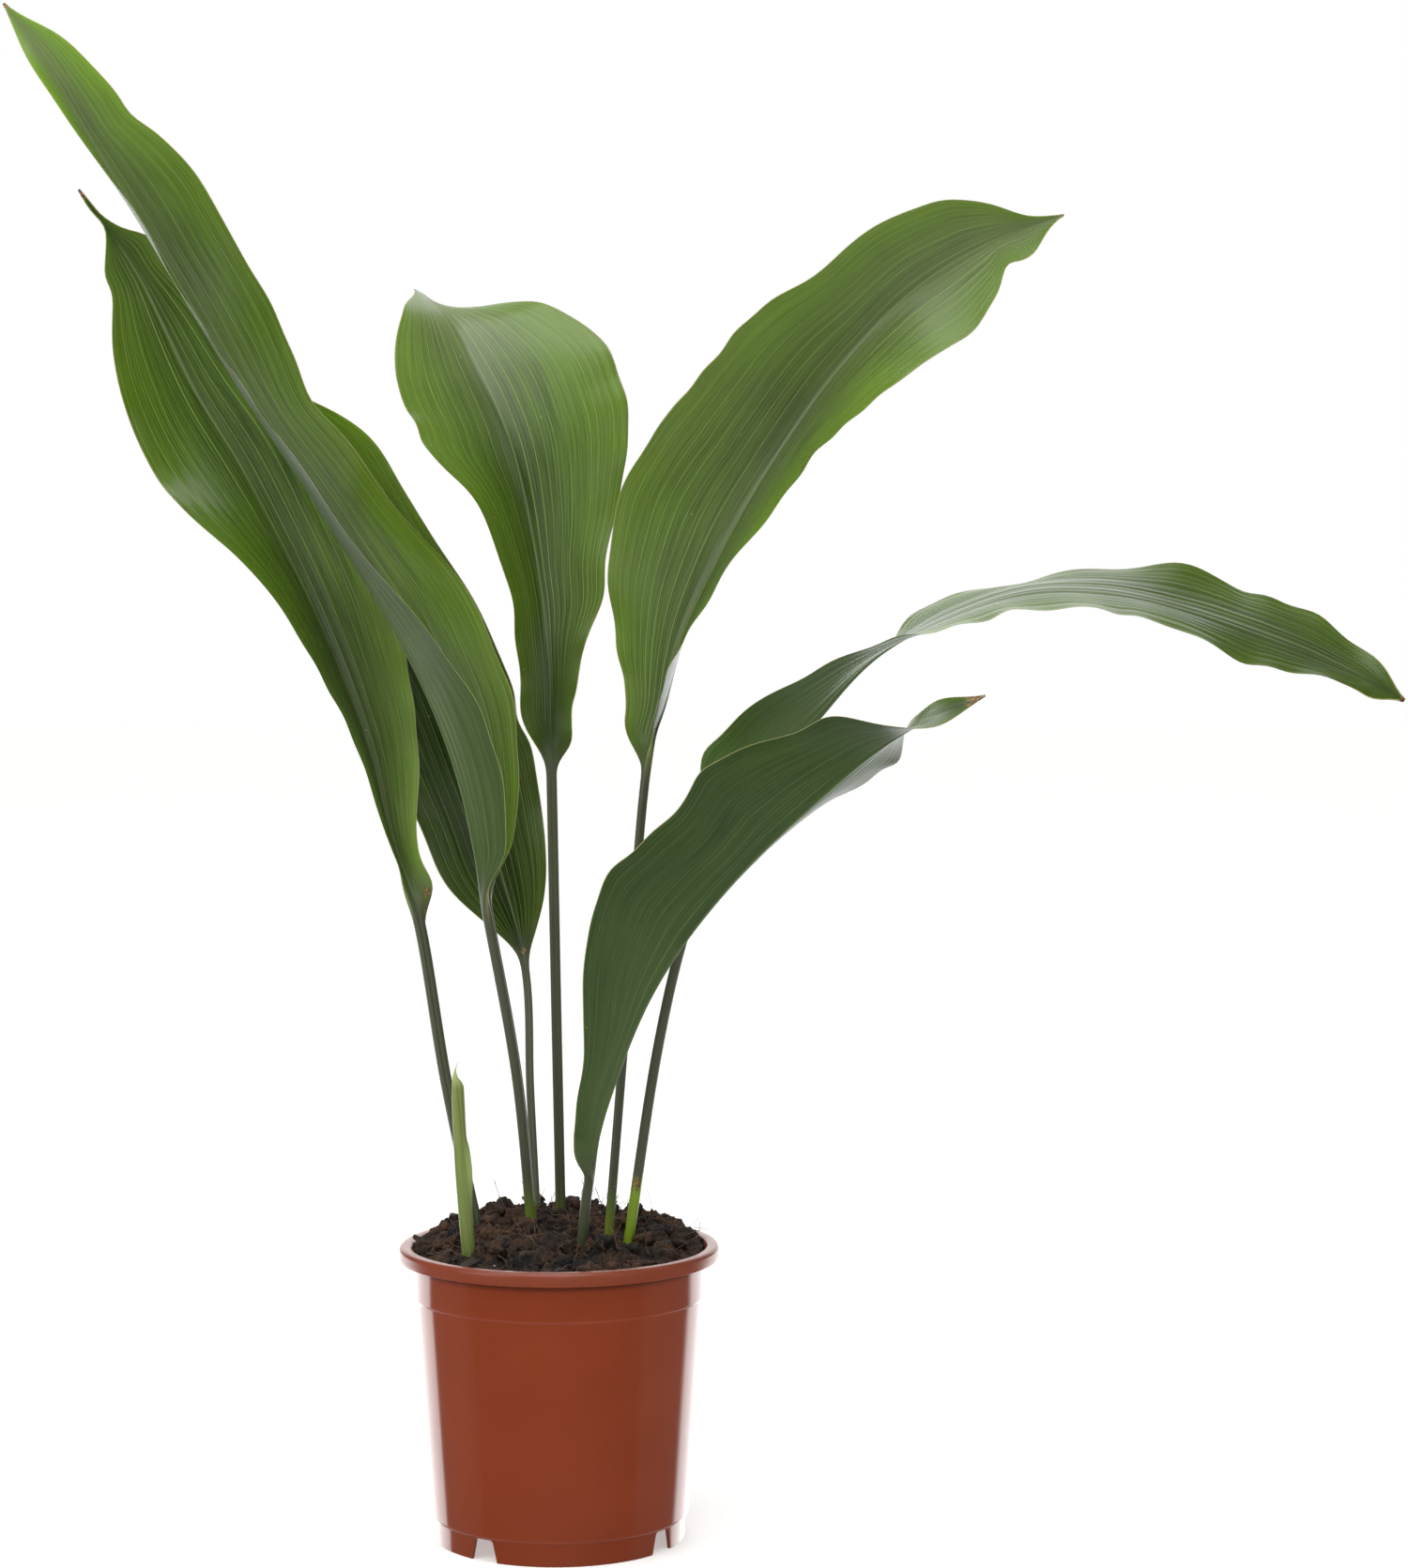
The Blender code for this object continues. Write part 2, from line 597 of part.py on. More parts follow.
def main():
    clear_scene()
    plant = new_collection("potted_cast_iron_plant")
    cutters = new_collection("cutters")
    frame = bpy.data.objects.new("plant_frame", None)
    frame.location = POT_AXIS
    plant.objects.link(frame)
    add_pot(plant, cutters, frame)
    soil = add_soil(plant, frame)
    add_rhizome(plant, cutters, frame, soil)
    leaf_green = finish("leaf_green", (0.045, 0.11, 0.02), 0.4)
    for leaf in LEAVES:
        add_leaf(leaf, plant, frame, leaf_green)
        stalk_hole(leaf.name, leaf.rib, leaf.stalk * MM, cutters, frame, soil)
    add_shoot(plant, cutters, frame)
    stalk_hole("shoot", SHOOT_RIB, SHOOT_RADIUS + SHEATH, cutters, frame, soil)


main()
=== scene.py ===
"""Potted cast iron plant (Aspidistra elatior): the looks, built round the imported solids.

Run it as a script. It makes the leaves, the young shoot, the soil, the grower's pot and
a plain studio, each with an operator of its own.
"""

import json
import random
from collections import namedtuple
from functools import partial
from math import cos, pi, radians, sin, sqrt

import bmesh
import bpy
import numpy as np
from bpy.props import FloatProperty, FloatVectorProperty, IntProperty, PointerProperty
from mathutils import Euler, Matrix, Vector, noise
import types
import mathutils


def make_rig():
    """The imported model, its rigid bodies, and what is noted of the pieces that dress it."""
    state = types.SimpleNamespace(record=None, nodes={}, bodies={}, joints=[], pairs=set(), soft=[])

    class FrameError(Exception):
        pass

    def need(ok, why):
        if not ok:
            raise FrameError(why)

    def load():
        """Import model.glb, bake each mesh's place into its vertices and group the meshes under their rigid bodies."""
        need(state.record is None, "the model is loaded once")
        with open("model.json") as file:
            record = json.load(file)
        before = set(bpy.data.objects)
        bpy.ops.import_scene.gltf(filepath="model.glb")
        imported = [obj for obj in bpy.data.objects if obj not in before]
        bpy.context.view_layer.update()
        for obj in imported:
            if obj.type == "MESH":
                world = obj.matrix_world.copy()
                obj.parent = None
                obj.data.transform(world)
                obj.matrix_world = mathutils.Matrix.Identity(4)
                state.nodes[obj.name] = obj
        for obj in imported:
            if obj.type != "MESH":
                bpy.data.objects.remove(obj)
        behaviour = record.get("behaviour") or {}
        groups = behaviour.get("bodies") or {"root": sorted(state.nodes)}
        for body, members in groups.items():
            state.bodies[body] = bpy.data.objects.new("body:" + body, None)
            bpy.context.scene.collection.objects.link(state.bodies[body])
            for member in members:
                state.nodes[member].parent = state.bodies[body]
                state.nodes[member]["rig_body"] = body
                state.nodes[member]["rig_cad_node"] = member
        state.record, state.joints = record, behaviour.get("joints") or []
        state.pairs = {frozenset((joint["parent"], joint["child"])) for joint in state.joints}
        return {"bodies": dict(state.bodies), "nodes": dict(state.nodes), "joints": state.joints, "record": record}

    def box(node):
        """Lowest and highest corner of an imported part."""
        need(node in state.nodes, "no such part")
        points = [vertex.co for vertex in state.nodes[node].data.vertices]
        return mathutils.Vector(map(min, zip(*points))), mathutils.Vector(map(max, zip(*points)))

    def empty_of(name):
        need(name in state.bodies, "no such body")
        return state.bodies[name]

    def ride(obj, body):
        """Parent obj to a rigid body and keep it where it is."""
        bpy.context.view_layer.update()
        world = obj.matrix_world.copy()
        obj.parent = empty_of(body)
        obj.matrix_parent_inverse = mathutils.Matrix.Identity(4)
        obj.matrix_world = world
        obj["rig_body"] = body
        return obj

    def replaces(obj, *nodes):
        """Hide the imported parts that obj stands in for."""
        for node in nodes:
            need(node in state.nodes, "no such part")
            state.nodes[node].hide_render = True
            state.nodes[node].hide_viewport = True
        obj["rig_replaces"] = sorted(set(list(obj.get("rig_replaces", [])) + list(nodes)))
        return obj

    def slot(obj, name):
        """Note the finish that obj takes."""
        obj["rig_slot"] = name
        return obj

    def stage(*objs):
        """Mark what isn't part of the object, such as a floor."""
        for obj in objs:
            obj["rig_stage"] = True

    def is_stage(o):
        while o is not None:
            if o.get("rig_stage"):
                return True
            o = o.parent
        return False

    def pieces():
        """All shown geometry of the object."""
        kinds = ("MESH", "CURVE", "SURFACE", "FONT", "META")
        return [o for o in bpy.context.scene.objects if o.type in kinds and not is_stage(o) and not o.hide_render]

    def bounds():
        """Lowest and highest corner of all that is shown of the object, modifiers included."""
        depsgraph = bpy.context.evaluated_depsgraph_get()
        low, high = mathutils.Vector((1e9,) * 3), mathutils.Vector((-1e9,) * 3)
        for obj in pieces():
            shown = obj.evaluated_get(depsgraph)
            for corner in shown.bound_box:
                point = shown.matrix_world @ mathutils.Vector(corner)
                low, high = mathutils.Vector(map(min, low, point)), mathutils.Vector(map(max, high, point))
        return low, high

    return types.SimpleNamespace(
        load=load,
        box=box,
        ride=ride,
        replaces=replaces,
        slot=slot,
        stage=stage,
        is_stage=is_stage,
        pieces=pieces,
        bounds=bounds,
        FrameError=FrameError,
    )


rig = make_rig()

bl_info = {
    "name": "Potted cast iron plant",
    "version": (1, 0, 0),
    "blender": (4, 5, 0),
    "location": "View3D > Sidebar > Plant",
    "description": "Leaves, shoot, soil and pot of a cast iron plant, and a plain studio",
    "category": "Add Mesh",
}

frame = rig.load()
CAD_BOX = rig.bounds()

MM = 0.001
POT_LOW, POT_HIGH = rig.box("pot")
AXIS = Vector(((POT_LOW.x + POT_HIGH.x) / 2, (POT_LOW.y + POT_HIGH.y) / 2, 0))
POT_HEIGHT = POT_HIGH.z
LIP_RADIUS = (POT_HIGH.x - POT_LOW.x) / 2
STALK_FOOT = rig.box("leaf_centre")[0].z


def linear(colour):
    """An sRGB hex colour as linear red, green and blue."""
    parts = [int(colour[k:k + 2], 16) / 255 for k in (1, 3, 5)]
    return tuple(c / 12.92 if c <= 0.04045 else ((c + 0.055) / 1.055) ** 2.4 for c in parts)


# --- Sizes and colours a user would change ---------------------------------------------

def length(name, description, default):
    return FloatProperty(name=name, description=description, default=default, min=0,
                         unit="LENGTH", subtype="DISTANCE", precision=5)


def colour(name, description, default):
    return FloatVectorProperty(name=name, description=description, default=linear(default),
                               size=3, min=0, max=1, subtype="COLOR")


class PotSettings(bpy.types.PropertyGroup):
    lip_drop: length("Lip drop", "Height of the turned-down lip", 7.2 * MM)
    wall: length("Wall", "Thickness of the moulded wall", 1.6 * MM)
    collar_radius: length("Collar radius", "Outer radius just under the lip", 78.2 * MM)
    step_height: length("Step height", "Height of the small step below the collar", 129 * MM)
    foot_radius: length("Foot radius", "Outer radius of the foot ring", 66.6 * MM)
    sides: IntProperty(name="Sides", description="Steps round the pot", default=160, min=24)
    plastic: colour("Plastic", "Colour of the moulded plastic", "#7F361C")


class LeafSettings(bpy.types.PropertyGroup):
    thickness: length("Thickness", "Thickness of a blade", 0.5 * MM)
    vein_spacing: length("Vein spacing", "Distance between main veins at the widest", 6 * MM)
    striation: length("Striation", "Distance between the fine lines", 0.8 * MM)
    pleat: length("Pleat", "Height of the folds between main veins", 0.5 * MM)
    upper: colour("Upper face", "Colour of the waxy upper face", "#3C5413")
    upper_light: colour("Light parts", "Colour of its lightest parts", "#5F821C")
    under: colour("Underside", "Colour of the duller underside", "#38511A")
    glow: colour("Glow", "Light that comes through the blade", "#93B524")
    vein: colour("Veins", "Colour of the main veins", "#8FA55A")
    margin: colour("Margin", "Colour of the thin dry margin", "#C9C48A")
    bloom: colour("Bloom", "Colour of the dust and wax on top", "#9DA17F")
    stalk: colour("Stalk", "Colour of the stalks", "#4B503C")
    fresh: colour("Fresh foot", "Colour of a young stalk's foot", "#7E9A1C")


class ShootSettings(bpy.types.PropertyGroup):
    skin: colour("Skin", "Colour of the rolled young leaf", "#7C8B48")


class SoilSettings(bpy.types.PropertyGroup):
    edge_height: length("Edge height", "Height of the soil at the wall", 154.5 * MM)
    heap: length("Heap", "Rise of the soil in the middle", 4 * MM)
    clods: IntProperty(name="Clods", description="Big clods on top", default=38, min=0)
    crumbs: IntProperty(name="Crumbs", description="Loose crumbs on top", default=1500, min=0)
    chips: IntProperty(name="Chips", description="Bits of bark on top", default=70, min=0)
    fibres: IntProperty(name="Fibres", description="Loose fibres on top", default=300, min=0)
    dark: colour("Dark peat", "Colour in the hollows", "#0E0906")
    light: colour("Light peat", "Colour of the dry crumbs", "#523824")


class StageSettings(bpy.types.PropertyGroup):
    floor: colour("Floor", "Colour of the floor", "#F2F2F0")
    camera_distance: length("Camera distance", "Distance from the pot's axis", 1.85)
    camera_height: length("Camera height", "Height of the camera", 0.5)
    camera_side: length("Camera side", "How far right of the pot it stands", 76.7 * MM)
    camera_pitch: FloatProperty(name="Camera pitch", description="How far it looks down",
                                default=radians(3.1), subtype="ANGLE", unit="ROTATION")
    lens: FloatProperty(name="Lens", description="Focal length in mm", default=89.98, min=1)


# --- Helpers ---------------------------------------------------------------------------

# Settings that many nodes share.
SMOOTH = {"interpolation_type": "SMOOTHSTEP"}
TIMES = {"operation": "MULTIPLY"}
PLUS = {"operation": "ADD"}
OF_COLOURS = {"data_type": "RGBA", "output": 2}


def feed(node, inputs):
    """Give each input of a node a plain value, or a link from another node's output."""
    for socket, source in inputs.items():
        if isinstance(source, bpy.types.NodeSocket):
            node.id_data.links.new(source, node.inputs[socket])
        else:
            node.inputs[socket].default_value = source


def add_node(tree, kind, inputs=(), output=0, stops=(), **settings):
    """Add a node with its settings, feed its inputs and give back one of its outputs.

    The inputs are a row from the first socket on, or named or numbered ones. The stops of a
    colour ramp are pairs of a place and a colour.
    """
    made = tree.nodes.new("ShaderNode" + kind)
    for key, value in settings.items():
        setattr(made, key, value)
    for k, (place, shade) in enumerate(stops):
        made.color_ramp.elements[k].position = place
        made.color_ramp.elements[k].color = shade
    feed(made, inputs if isinstance(inputs, dict) else dict(enumerate(inputs)))
    return made.outputs[output]


def new_material(name):
    """An empty node material, what adds nodes to it, and its Principled shader."""
    material = bpy.data.materials.new(name)
    material.use_nodes = True
    tree = material.node_tree
    return material, partial(add_node, tree), tree.nodes["Principled BSDF"]


def rgba(colour, factor=1.0):
    """A colour, sRGB hex or linear, made darker or lighter, as linear red to alpha."""
    if isinstance(colour, str):
        colour = linear(colour)
    return (*(min(c * factor, 1) for c in colour), 1)


def new_object(name, shape):
    """Turn a bmesh into an object of the scene, at the origin."""
    mesh = bpy.data.meshes.new(name)
    shape.to_mesh(mesh)
    shape.free()
    made = bpy.data.objects.new(name, mesh)
    bpy.context.scene.collection.objects.link(made)
    return made


def add_piece(name, shape, material, slot, replaces=None, smooth=True):
    """Turn a bmesh into a finished piece that rides with the plant."""
    piece = new_object(name, shape)
    if smooth:
        piece.data.shade_smooth()
    piece.data.materials.append(material)
    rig.slot(piece, slot)
    if replaces:
        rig.replaces(piece, replaces)
    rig.ride(piece, "root")
    return piece


def merge(pile, bit):
    """Add one bmesh to another."""
    carrier = bpy.data.meshes.new("carrier")
    bit.to_mesh(carrier)
    bit.free()
    pile.from_mesh(carrier)
    bpy.data.meshes.remove(carrier)


def spline(values, t):
    """A smooth curve through evenly numbered values, read at each place of t."""
    values = np.asarray(values, float)
    last = len(values) - 1
    k = np.clip(t.astype(int), 0, last - 1)
    f = t - k
    if values.ndim > 1:
        f = f[:, None]
    a = values[np.maximum(k - 1, 0)]
    b = values[k]
    c = values[k + 1]
    d = values[np.minimum(k + 2, last)]
    return b + (c - a) * (0.5 * f) + (a * 2 - b * 5 + c * 4 - d) * (0.5 * f * f) \
        + (b * 3 - a - c * 3 + d) * (0.5 * f ** 3)


def profile(values, s):
    """One of a leaf's rows of values, at each share s of its blade."""
    return spline(values, s * (len(values) - 1))


def unit(rows):
    return rows / np.linalg.norm(rows, axis=-1, keepdims=True)


def smoothstep(x):
    x = np.clip(x, 0, 1)
    return x * x * (3 - 2 * x)


class Path:
    """A smooth line through points, measured along its length."""

    STEPS = 24
    REACH = 0.01

    def __init__(self, points):
        count = (len(points) - 1) * self.STEPS
        self.samples = spline(points, np.arange(count + 1) / self.STEPS)
        steps = np.linalg.norm(np.diff(self.samples, axis=0), axis=1)
        self.lengths = np.concatenate([[0], np.cumsum(steps)])
        self.total = self.lengths[-1]

    def length_at(self, index):
        return self.lengths[index * self.STEPS]

    def at(self, places):
        return np.stack([np.interp(places, self.lengths, c) for c in self.samples.T], -1)

    def along(self, places):
        """The direction of the line at each place."""
        first = np.maximum(places - self.REACH, 0)
        second = np.minimum(places + self.REACH, self.total)
        return unit(self.at(second) - self.at(first))


def rooted(rib):
    """Rib points in metres, carried straight on down to the rhizome."""
    points = np.array(rib, float) * MM + np.array([AXIS.x, AXIS.y, 0])
    slope = points[1] - points[0]
    foot = points[0] - slope * ((points[0][2] - STALK_FOOT) / slope[2])
    return np.vstack([foot, points])


def skin(rings, attributes):
    """A closed tube through equal rings: a grid rolled up, with both of its ends filled."""
    stations, around = rings.shape[:2]
    shape = bmesh.new()
    bmesh.ops.create_grid(shape, x_segments=around, y_segments=stations - 1, size=1)
    layers = {key: shape.verts.layers.float.new(key) for key in attributes}
    seam = {}
    for vert in shape.verts:
        i = round((vert.co.x + 1) / 2 * around)
        j = round((vert.co.y + 1) / 2 * (stations - 1))
        seam.setdefault(j, {})[i] = vert
        vert.co = rings[j, i % around]
        for key, layer in layers.items():
            vert[layer] = attributes[key][j, i % around]
    joins = {row[around]: row[0] for row in seam.values()}
    bmesh.ops.weld_verts(shape, targetmap=joins)
    bmesh.ops.holes_fill(shape, edges=[e for e in shape.edges if e.is_boundary])
    bmesh.ops.recalc_face_normals(shape, faces=shape.faces)
    return shape


# --- Leaves ----------------------------------------------------------------------------

# Each leaf's rib runs through the points of `rib`, in mm from the pot's axis: the first is
# where the stalk leaves the soil, and the blade starts at the point numbered `blade`.
# `stalk` is half the stalk's width in mm.
# These rows hold values at even steps from the blade's base to its tip: `half` is half its
# width in mm, `turn` how many degrees it is turned about its rib from facing the front,
# `fold` how many degrees its halves rise from flat, `tone` how light its green is, and
# `bloom` how much pale dust and wax lie on it.
# `wave` is the ripple of the margins: its height in mm, how many waves there are, and where
# the first one starts. `frill` is the height in mm and the number of the finer waves, and
# `pleat` is how strongly the blade is folded between its veins.
# `nicks` are places where a margin stands out or in, and `curls` where it lifts or drops:
# the side, the share of the blade, its spread and mm. `spots` are brown places: the side of
# the rib from -1 to 1, the share of the blade and the size in mm. `fresh` is how green the
# stalk's foot is, and `dry` how brown the tip.
Leaf = namedtuple("Leaf", "name stalk blade rib half turn fold wave frill pleat nicks curls "
                  "spots fresh dry tone bloom")
LEAVES = [
    Leaf("leaf_tall_left", 3.2, 2,
         [(-15, 24, 155), (-22.5, 16, 241), (-36, 5, 323), (-51, -6, 402), (-76, -14, 466),
          (-116, -24, 535), (-165, -36, 612), (-205, -48, 682), (-235, -59, 733),
          (-254, -66, 767), (-274, -70, 795)],
         half=[3, 27, 41, 46, 46, 43, 41, 40, 34, 21, 0.5],
         turn=[-80, -78, -76, -74.5, -73, -72, -70, -58, -50, -40, -8],
         fold=[66, 61, 56, 43, 30, 28, 30, 38, 44, 36, 8],
         wave=(1.5, 3, 0.2), frill=(0.7, 9), pleat=0.7,
         nicks=[(1, 0.95, 0.03, 3), (1, 0.855, 0.02, -3), (1, 0.78, 0.04, 3),
                (1, 0.61, 0.03, 2), (1, 0.54, 0.04, -5), (1, 0.34, 0.07, 6),
                (1, 0.2, 0.05, 3), (-1, 0.89, 0.05, -5)],
         curls=[], spots=[(0.6, 0.03, 2)], fresh=0.5, dry=0.1,
         tone=[0.95, 0.95, 0.84, 1.05, 1.8], bloom=[0.03, 0.07, 0.06, 0.09, 0.2]),
    Leaf("leaf_broad_left", 2.6, 2,
         [(-46, 30, 158), (-63.5, 40, 238), (-78, 50, 321), (-94, 54, 373), (-106, 57, 420),
          (-133, 60, 488), (-170, 60, 562), (-199, 58, 611), (-226, 54, 668), (-245, 51, 697),
          (-258, 48, 716)],
         half=[3, 15, 28, 37, 42, 45, 46, 42, 31, 12, 0.5],
         turn=[-30, -32, -34, -37, -38, -32, -20, -11, -6, -5, -5],
         fold=[62, 57, 52, 47, 43, 32, 20, 11, 14, 20, 25],
         wave=(2.5, 4, 0.5), frill=(0.8, 10), pleat=0.9,
         nicks=[(1, 0.04, 0.03, 8), (-1, 0.14, 0.05, -5), (-1, 0.34, 0.08, 5),
                (-1, 0.945, 0.022, -5), (-1, 0.895, 0.02, 3.5), (1, 0.96, 0.02, -1.5),
                (1, 0.905, 0.02, 6)],
         curls=[], spots=[(0.75, 0.035, 3.5), (0.9, 0.015, 2.5)], fresh=0.1, dry=0.6,
         tone=[1.2, 1.15, 0.95, 0.8, 0.68], bloom=[0.14, 0.12, 0.01, 0, 0]),
    Leaf("leaf_centre", 2.6, 2,
         [(-1, 47, 160), (-3, 38, 284), (-5, 36, 403), (-7, 39, 471), (-16, 44, 534),
          (-28, 52, 583), (-47, 66, 625), (-64, 84, 652), (-83, 106, 668)],
         half=[3, 13, 18, 27, 40, 56, 66, 65, 54, 28, 0.5],
         turn=[0, -8, -32, -28, -30, -64], fold=[40, 22, 32, 28, 18, 5],
         wave=(2, 3, 0.0), frill=(0.9, 9), pleat=0.5,
         nicks=[(-1, 0.1, 0.06, 5), (-1, 0.33, 0.07, -6), (-1, 0.57, 0.05, 7),
                (-1, 0.79, 0.07, -5), (1, 0.055, 0.03, 5), (1, 0.12, 0.02, -1),
                (1, 0.3, 0.05, 6), (1, 0.45, 0.06, 2), (1, 0.7, 0.06, 3.5),
                (1, 0.94, 0.035, -7), (1, 0.85, 0.03, 2)],
         curls=[(1, 0.93, 0.035, -7), (1, 0.83, 0.04, 3)], spots=[], fresh=0.3, dry=0.1,
         tone=[0.5, 0.6, 0.85, 0.95, 0.97], bloom=[0, 0, 0, 0.09, 0.3]),
    Leaf("leaf_inner_left", 1.9, 2,
         [(-15, 58, 162), (-19, 72, 228), (-22, 84, 292), (-37, 90, 351), (-66, 94, 439),
          (-104, 94, 517), (-137, 90, 578), (-160, 85, 619)],
         half=[2, 18, 33, 40, 42, 42, 40, 36, 29, 17, 0.5],
         turn=[0, 0, 0, 0, 0, 0], fold=[45, 28, 22, 20, 20, 20],
         wave=(1.5, 3, 0.7), frill=(0.7, 8), pleat=0.7,
         nicks=[(-1, 0.14, 0.07, 7), (1, 0.11, 0.07, 7), (1, 0.37, 0.03, -4),
                (1, 0.85, 0.08, 9)],
         curls=[], spots=[(0.2, 0.03, 2)], fresh=0.2, dry=0.1,
         tone=[0.4, 0.43, 0.5, 1, 1.6], bloom=[0, 0, 0, 0, 0.02]),
    Leaf("leaf_tall_right", 2.6, 2,
         [(25.5, 13, 155), (33.5, 18, 256), (45, 26, 399), (55.5, 29, 443), (69, 30, 487),
          (101, 28, 550), (142, 22, 612), (184, 14, 657), (225, 6, 683), (264, -4, 697)],
         half=[3, 19, 39, 57, 61, 60, 55, 49, 41, 24, 0.5],
         turn=[62, 50, 40, 24, 4, 0], fold=[47, 42, 40, 46, 29, 20],
         wave=(2, 5, 0.3), frill=(1.1, 12), pleat=0.5,
         nicks=[(1, 0.07, 0.05, -7), (-1, 0.06, 0.03, 5), (-1, 0.14, 0.05, 2),
                (-1, 0.24, 0.06, 2.5), (-1, 0.36, 0.06, 7), (-1, 0.455, 0.02, -1),
                (-1, 0.58, 0.07, 4.5), (-1, 0.7, 0.05, -3), (-1, 0.87, 0.03, 2.5),
                (-1, 0.95, 0.03, -4), (1, 0.28, 0.06, -2), (1, 0.42, 0.05, -7),
                (1, 0.57, 0.06, 8), (1, 0.82, 0.04, 3), (1, 0.905, 0.018, -6),
                (1, 0.95, 0.02, 4)],
         curls=[], spots=[], fresh=0.6, dry=0.2,
         tone=[0.9, 0.93, 0.96, 0.98, 0.95], bloom=[0.02, 0.06, 0.11, 0.14, 0.17]),
    Leaf("leaf_low_right", 3.0, 1,
         [(12, -23, 155), (16, -28, 192), (25.5, -36, 235), (50, -52, 296), (88, -74, 351),
          (140, -96, 403), (177, -108, 432), (215, -118, 450)],
         half=[3, 17, 23, 40, 50, 52, 51, 50, 42, 23, 0.5],
         turn=[95, 105, 127, 130, 120, 50], fold=[70, 55, 45, 40, 15, 0],
         wave=(1.5, 3, 0.1), frill=(0.8, 9), pleat=0.7,
         nicks=[(1, 0.04, 0.025, 7), (1, 0.1, 0.03, -2), (1, 0.28, 0.05, -4),
                (1, 0.43, 0.04, 5), (1, 0.55, 0.04, -4), (1, 0.63, 0.03, 3),
                (1, 0.84, 0.05, 6), (-1, 0.7, 0.06, -7), (-1, 0.82, 0.03, 4)],
         curls=[(1, 0.84, 0.045, 5), (-1, 0.69, 0.05, 3.5), (-1, 0.815, 0.025, -4)], spots=[],
         fresh=0.1, dry=1.0, tone=[0.95, 0.88, 0.78, 0.75, 0.7], bloom=[0.06, 0.03, 0, 0, 0]),
    Leaf("leaf_arching_right", 3.0, 2,
         [(36, -14, 155), (51, -10, 255), (67, -4, 324), (86.5, 2, 366), (111, 8, 400),
          (136, 14, 433), (174, 23, 471), (236, 33, 499), (287, 37, 503), (337, 37, 493),
          (386, 33, 476), (423, 29, 459), (450, 25, 443)],
         half=[3, 18, 36, 41, 43, 45, 45, 43, 39, 27, 0.5],
         turn=[100, 114, 123, 101, 90, 81, 75, 70, 61, 54, 48],
         fold=[65, 54, 45, 19, -2, -2, -1, 0, 1, 2, 2],
         wave=(2, 4, 0.4), frill=(1.0, 11), pleat=1.7,
         nicks=[(1, 0.16, 0.03, 9)],
         curls=[(-1, 0.45, 0.035, 8), (-1, 0.57, 0.045, -8), (-1, 0.72, 0.04, 7),
                (-1, 0.8, 0.02, -3), (-1, 0.88, 0.03, 3), (-1, 0.96, 0.03, 5),
                (1, 0.51, 0.025, 3), (1, 0.6, 0.03, 1.5), (1, 0.65, 0.02, -2.5),
                (1, 0.74, 0.04, 3), (1, 0.82, 0.02, -2.5), (1, 0.91, 0.03, 3.5),
                (1, 0.97, 0.02, -5)],
         spots=[], fresh=1.0, dry=0.2,
         tone=[1.2, 1.2, 0.9, 0.7, 0.6], bloom=[0.1, 0.1, 0.05, 0.03, 0.02]),
]

AROUND = 176
STALK_STATIONS = 26
BLADE_STATIONS = 132
CLUSTER = 0.5  # how far a ring's points crowd towards the margins and the rib
# The stalk is a round rod with a groove on top, and it opens into the blade over a share of
# the blade's length. Its height above and below is given in half widths.
STALK_BLEND = 0.08
STALK_RISE = 0.7
STALK_DROP = 0.9
GROOVE_DEPTH = 0.22
GROOVE_WIDTH = 0.3
CAD_BLADE = 0.8 * MM
RIB_HEIGHT = 1.3 * MM
RIB_HALF_WIDTH = 1.7 * MM
TIP_HALF_WIDTH = 0.5 * MM
WAVE_SKEW = 0.3
V_ROUNDING = 0.1
UNEVEN_WIDTH = 0.012
UNEVEN_WAVES = 5.3
FRILL_WANDER = 0.35
WANDER_WAVES = 2.3
VEIN_DRIFT = 0.22
PLEATS = 64  # more than any blade has
LOW_PLEAT = 0.35
DRY_TIP = 14 * MM
STALK_BASE = 160 * MM
FRESH_REACH = 0.03
# On a fresh young stalk the green foot ends at a thin brown ring.
RINGED_FROM = 0.9
RING_WIDTH = 0.7 * MM
RING_DARK = 0.8
RING_EDGE = 1.5 * MM


def across_samples():
    """Where a ring's points lie across the blade, and whether each is on the underside."""
    k = np.arange(AROUND)
    half_way = AROUND // 2
    tau = np.where(k <= half_way, -1 + 4 * k / AROUND, 3 - 4 * k / AROUND)
    t = tau - CLUSTER * np.sin(2 * pi * tau) / (2 * pi)
    return t, (k > half_way).astype(float)


def vein_places(t, widest, spacing, rng):
    """The number of the main vein at each place across, a whole number on each vein."""
    count = widest / spacing
    drift = sum(rng.uniform(-VEIN_DRIFT, VEIN_DRIFT) * np.sin(t * k * 2.2 + rng.uniform(0, 6.3))
                for k in range(1, 6))
    return t * count + drift * smoothstep(np.abs(t) * 4)


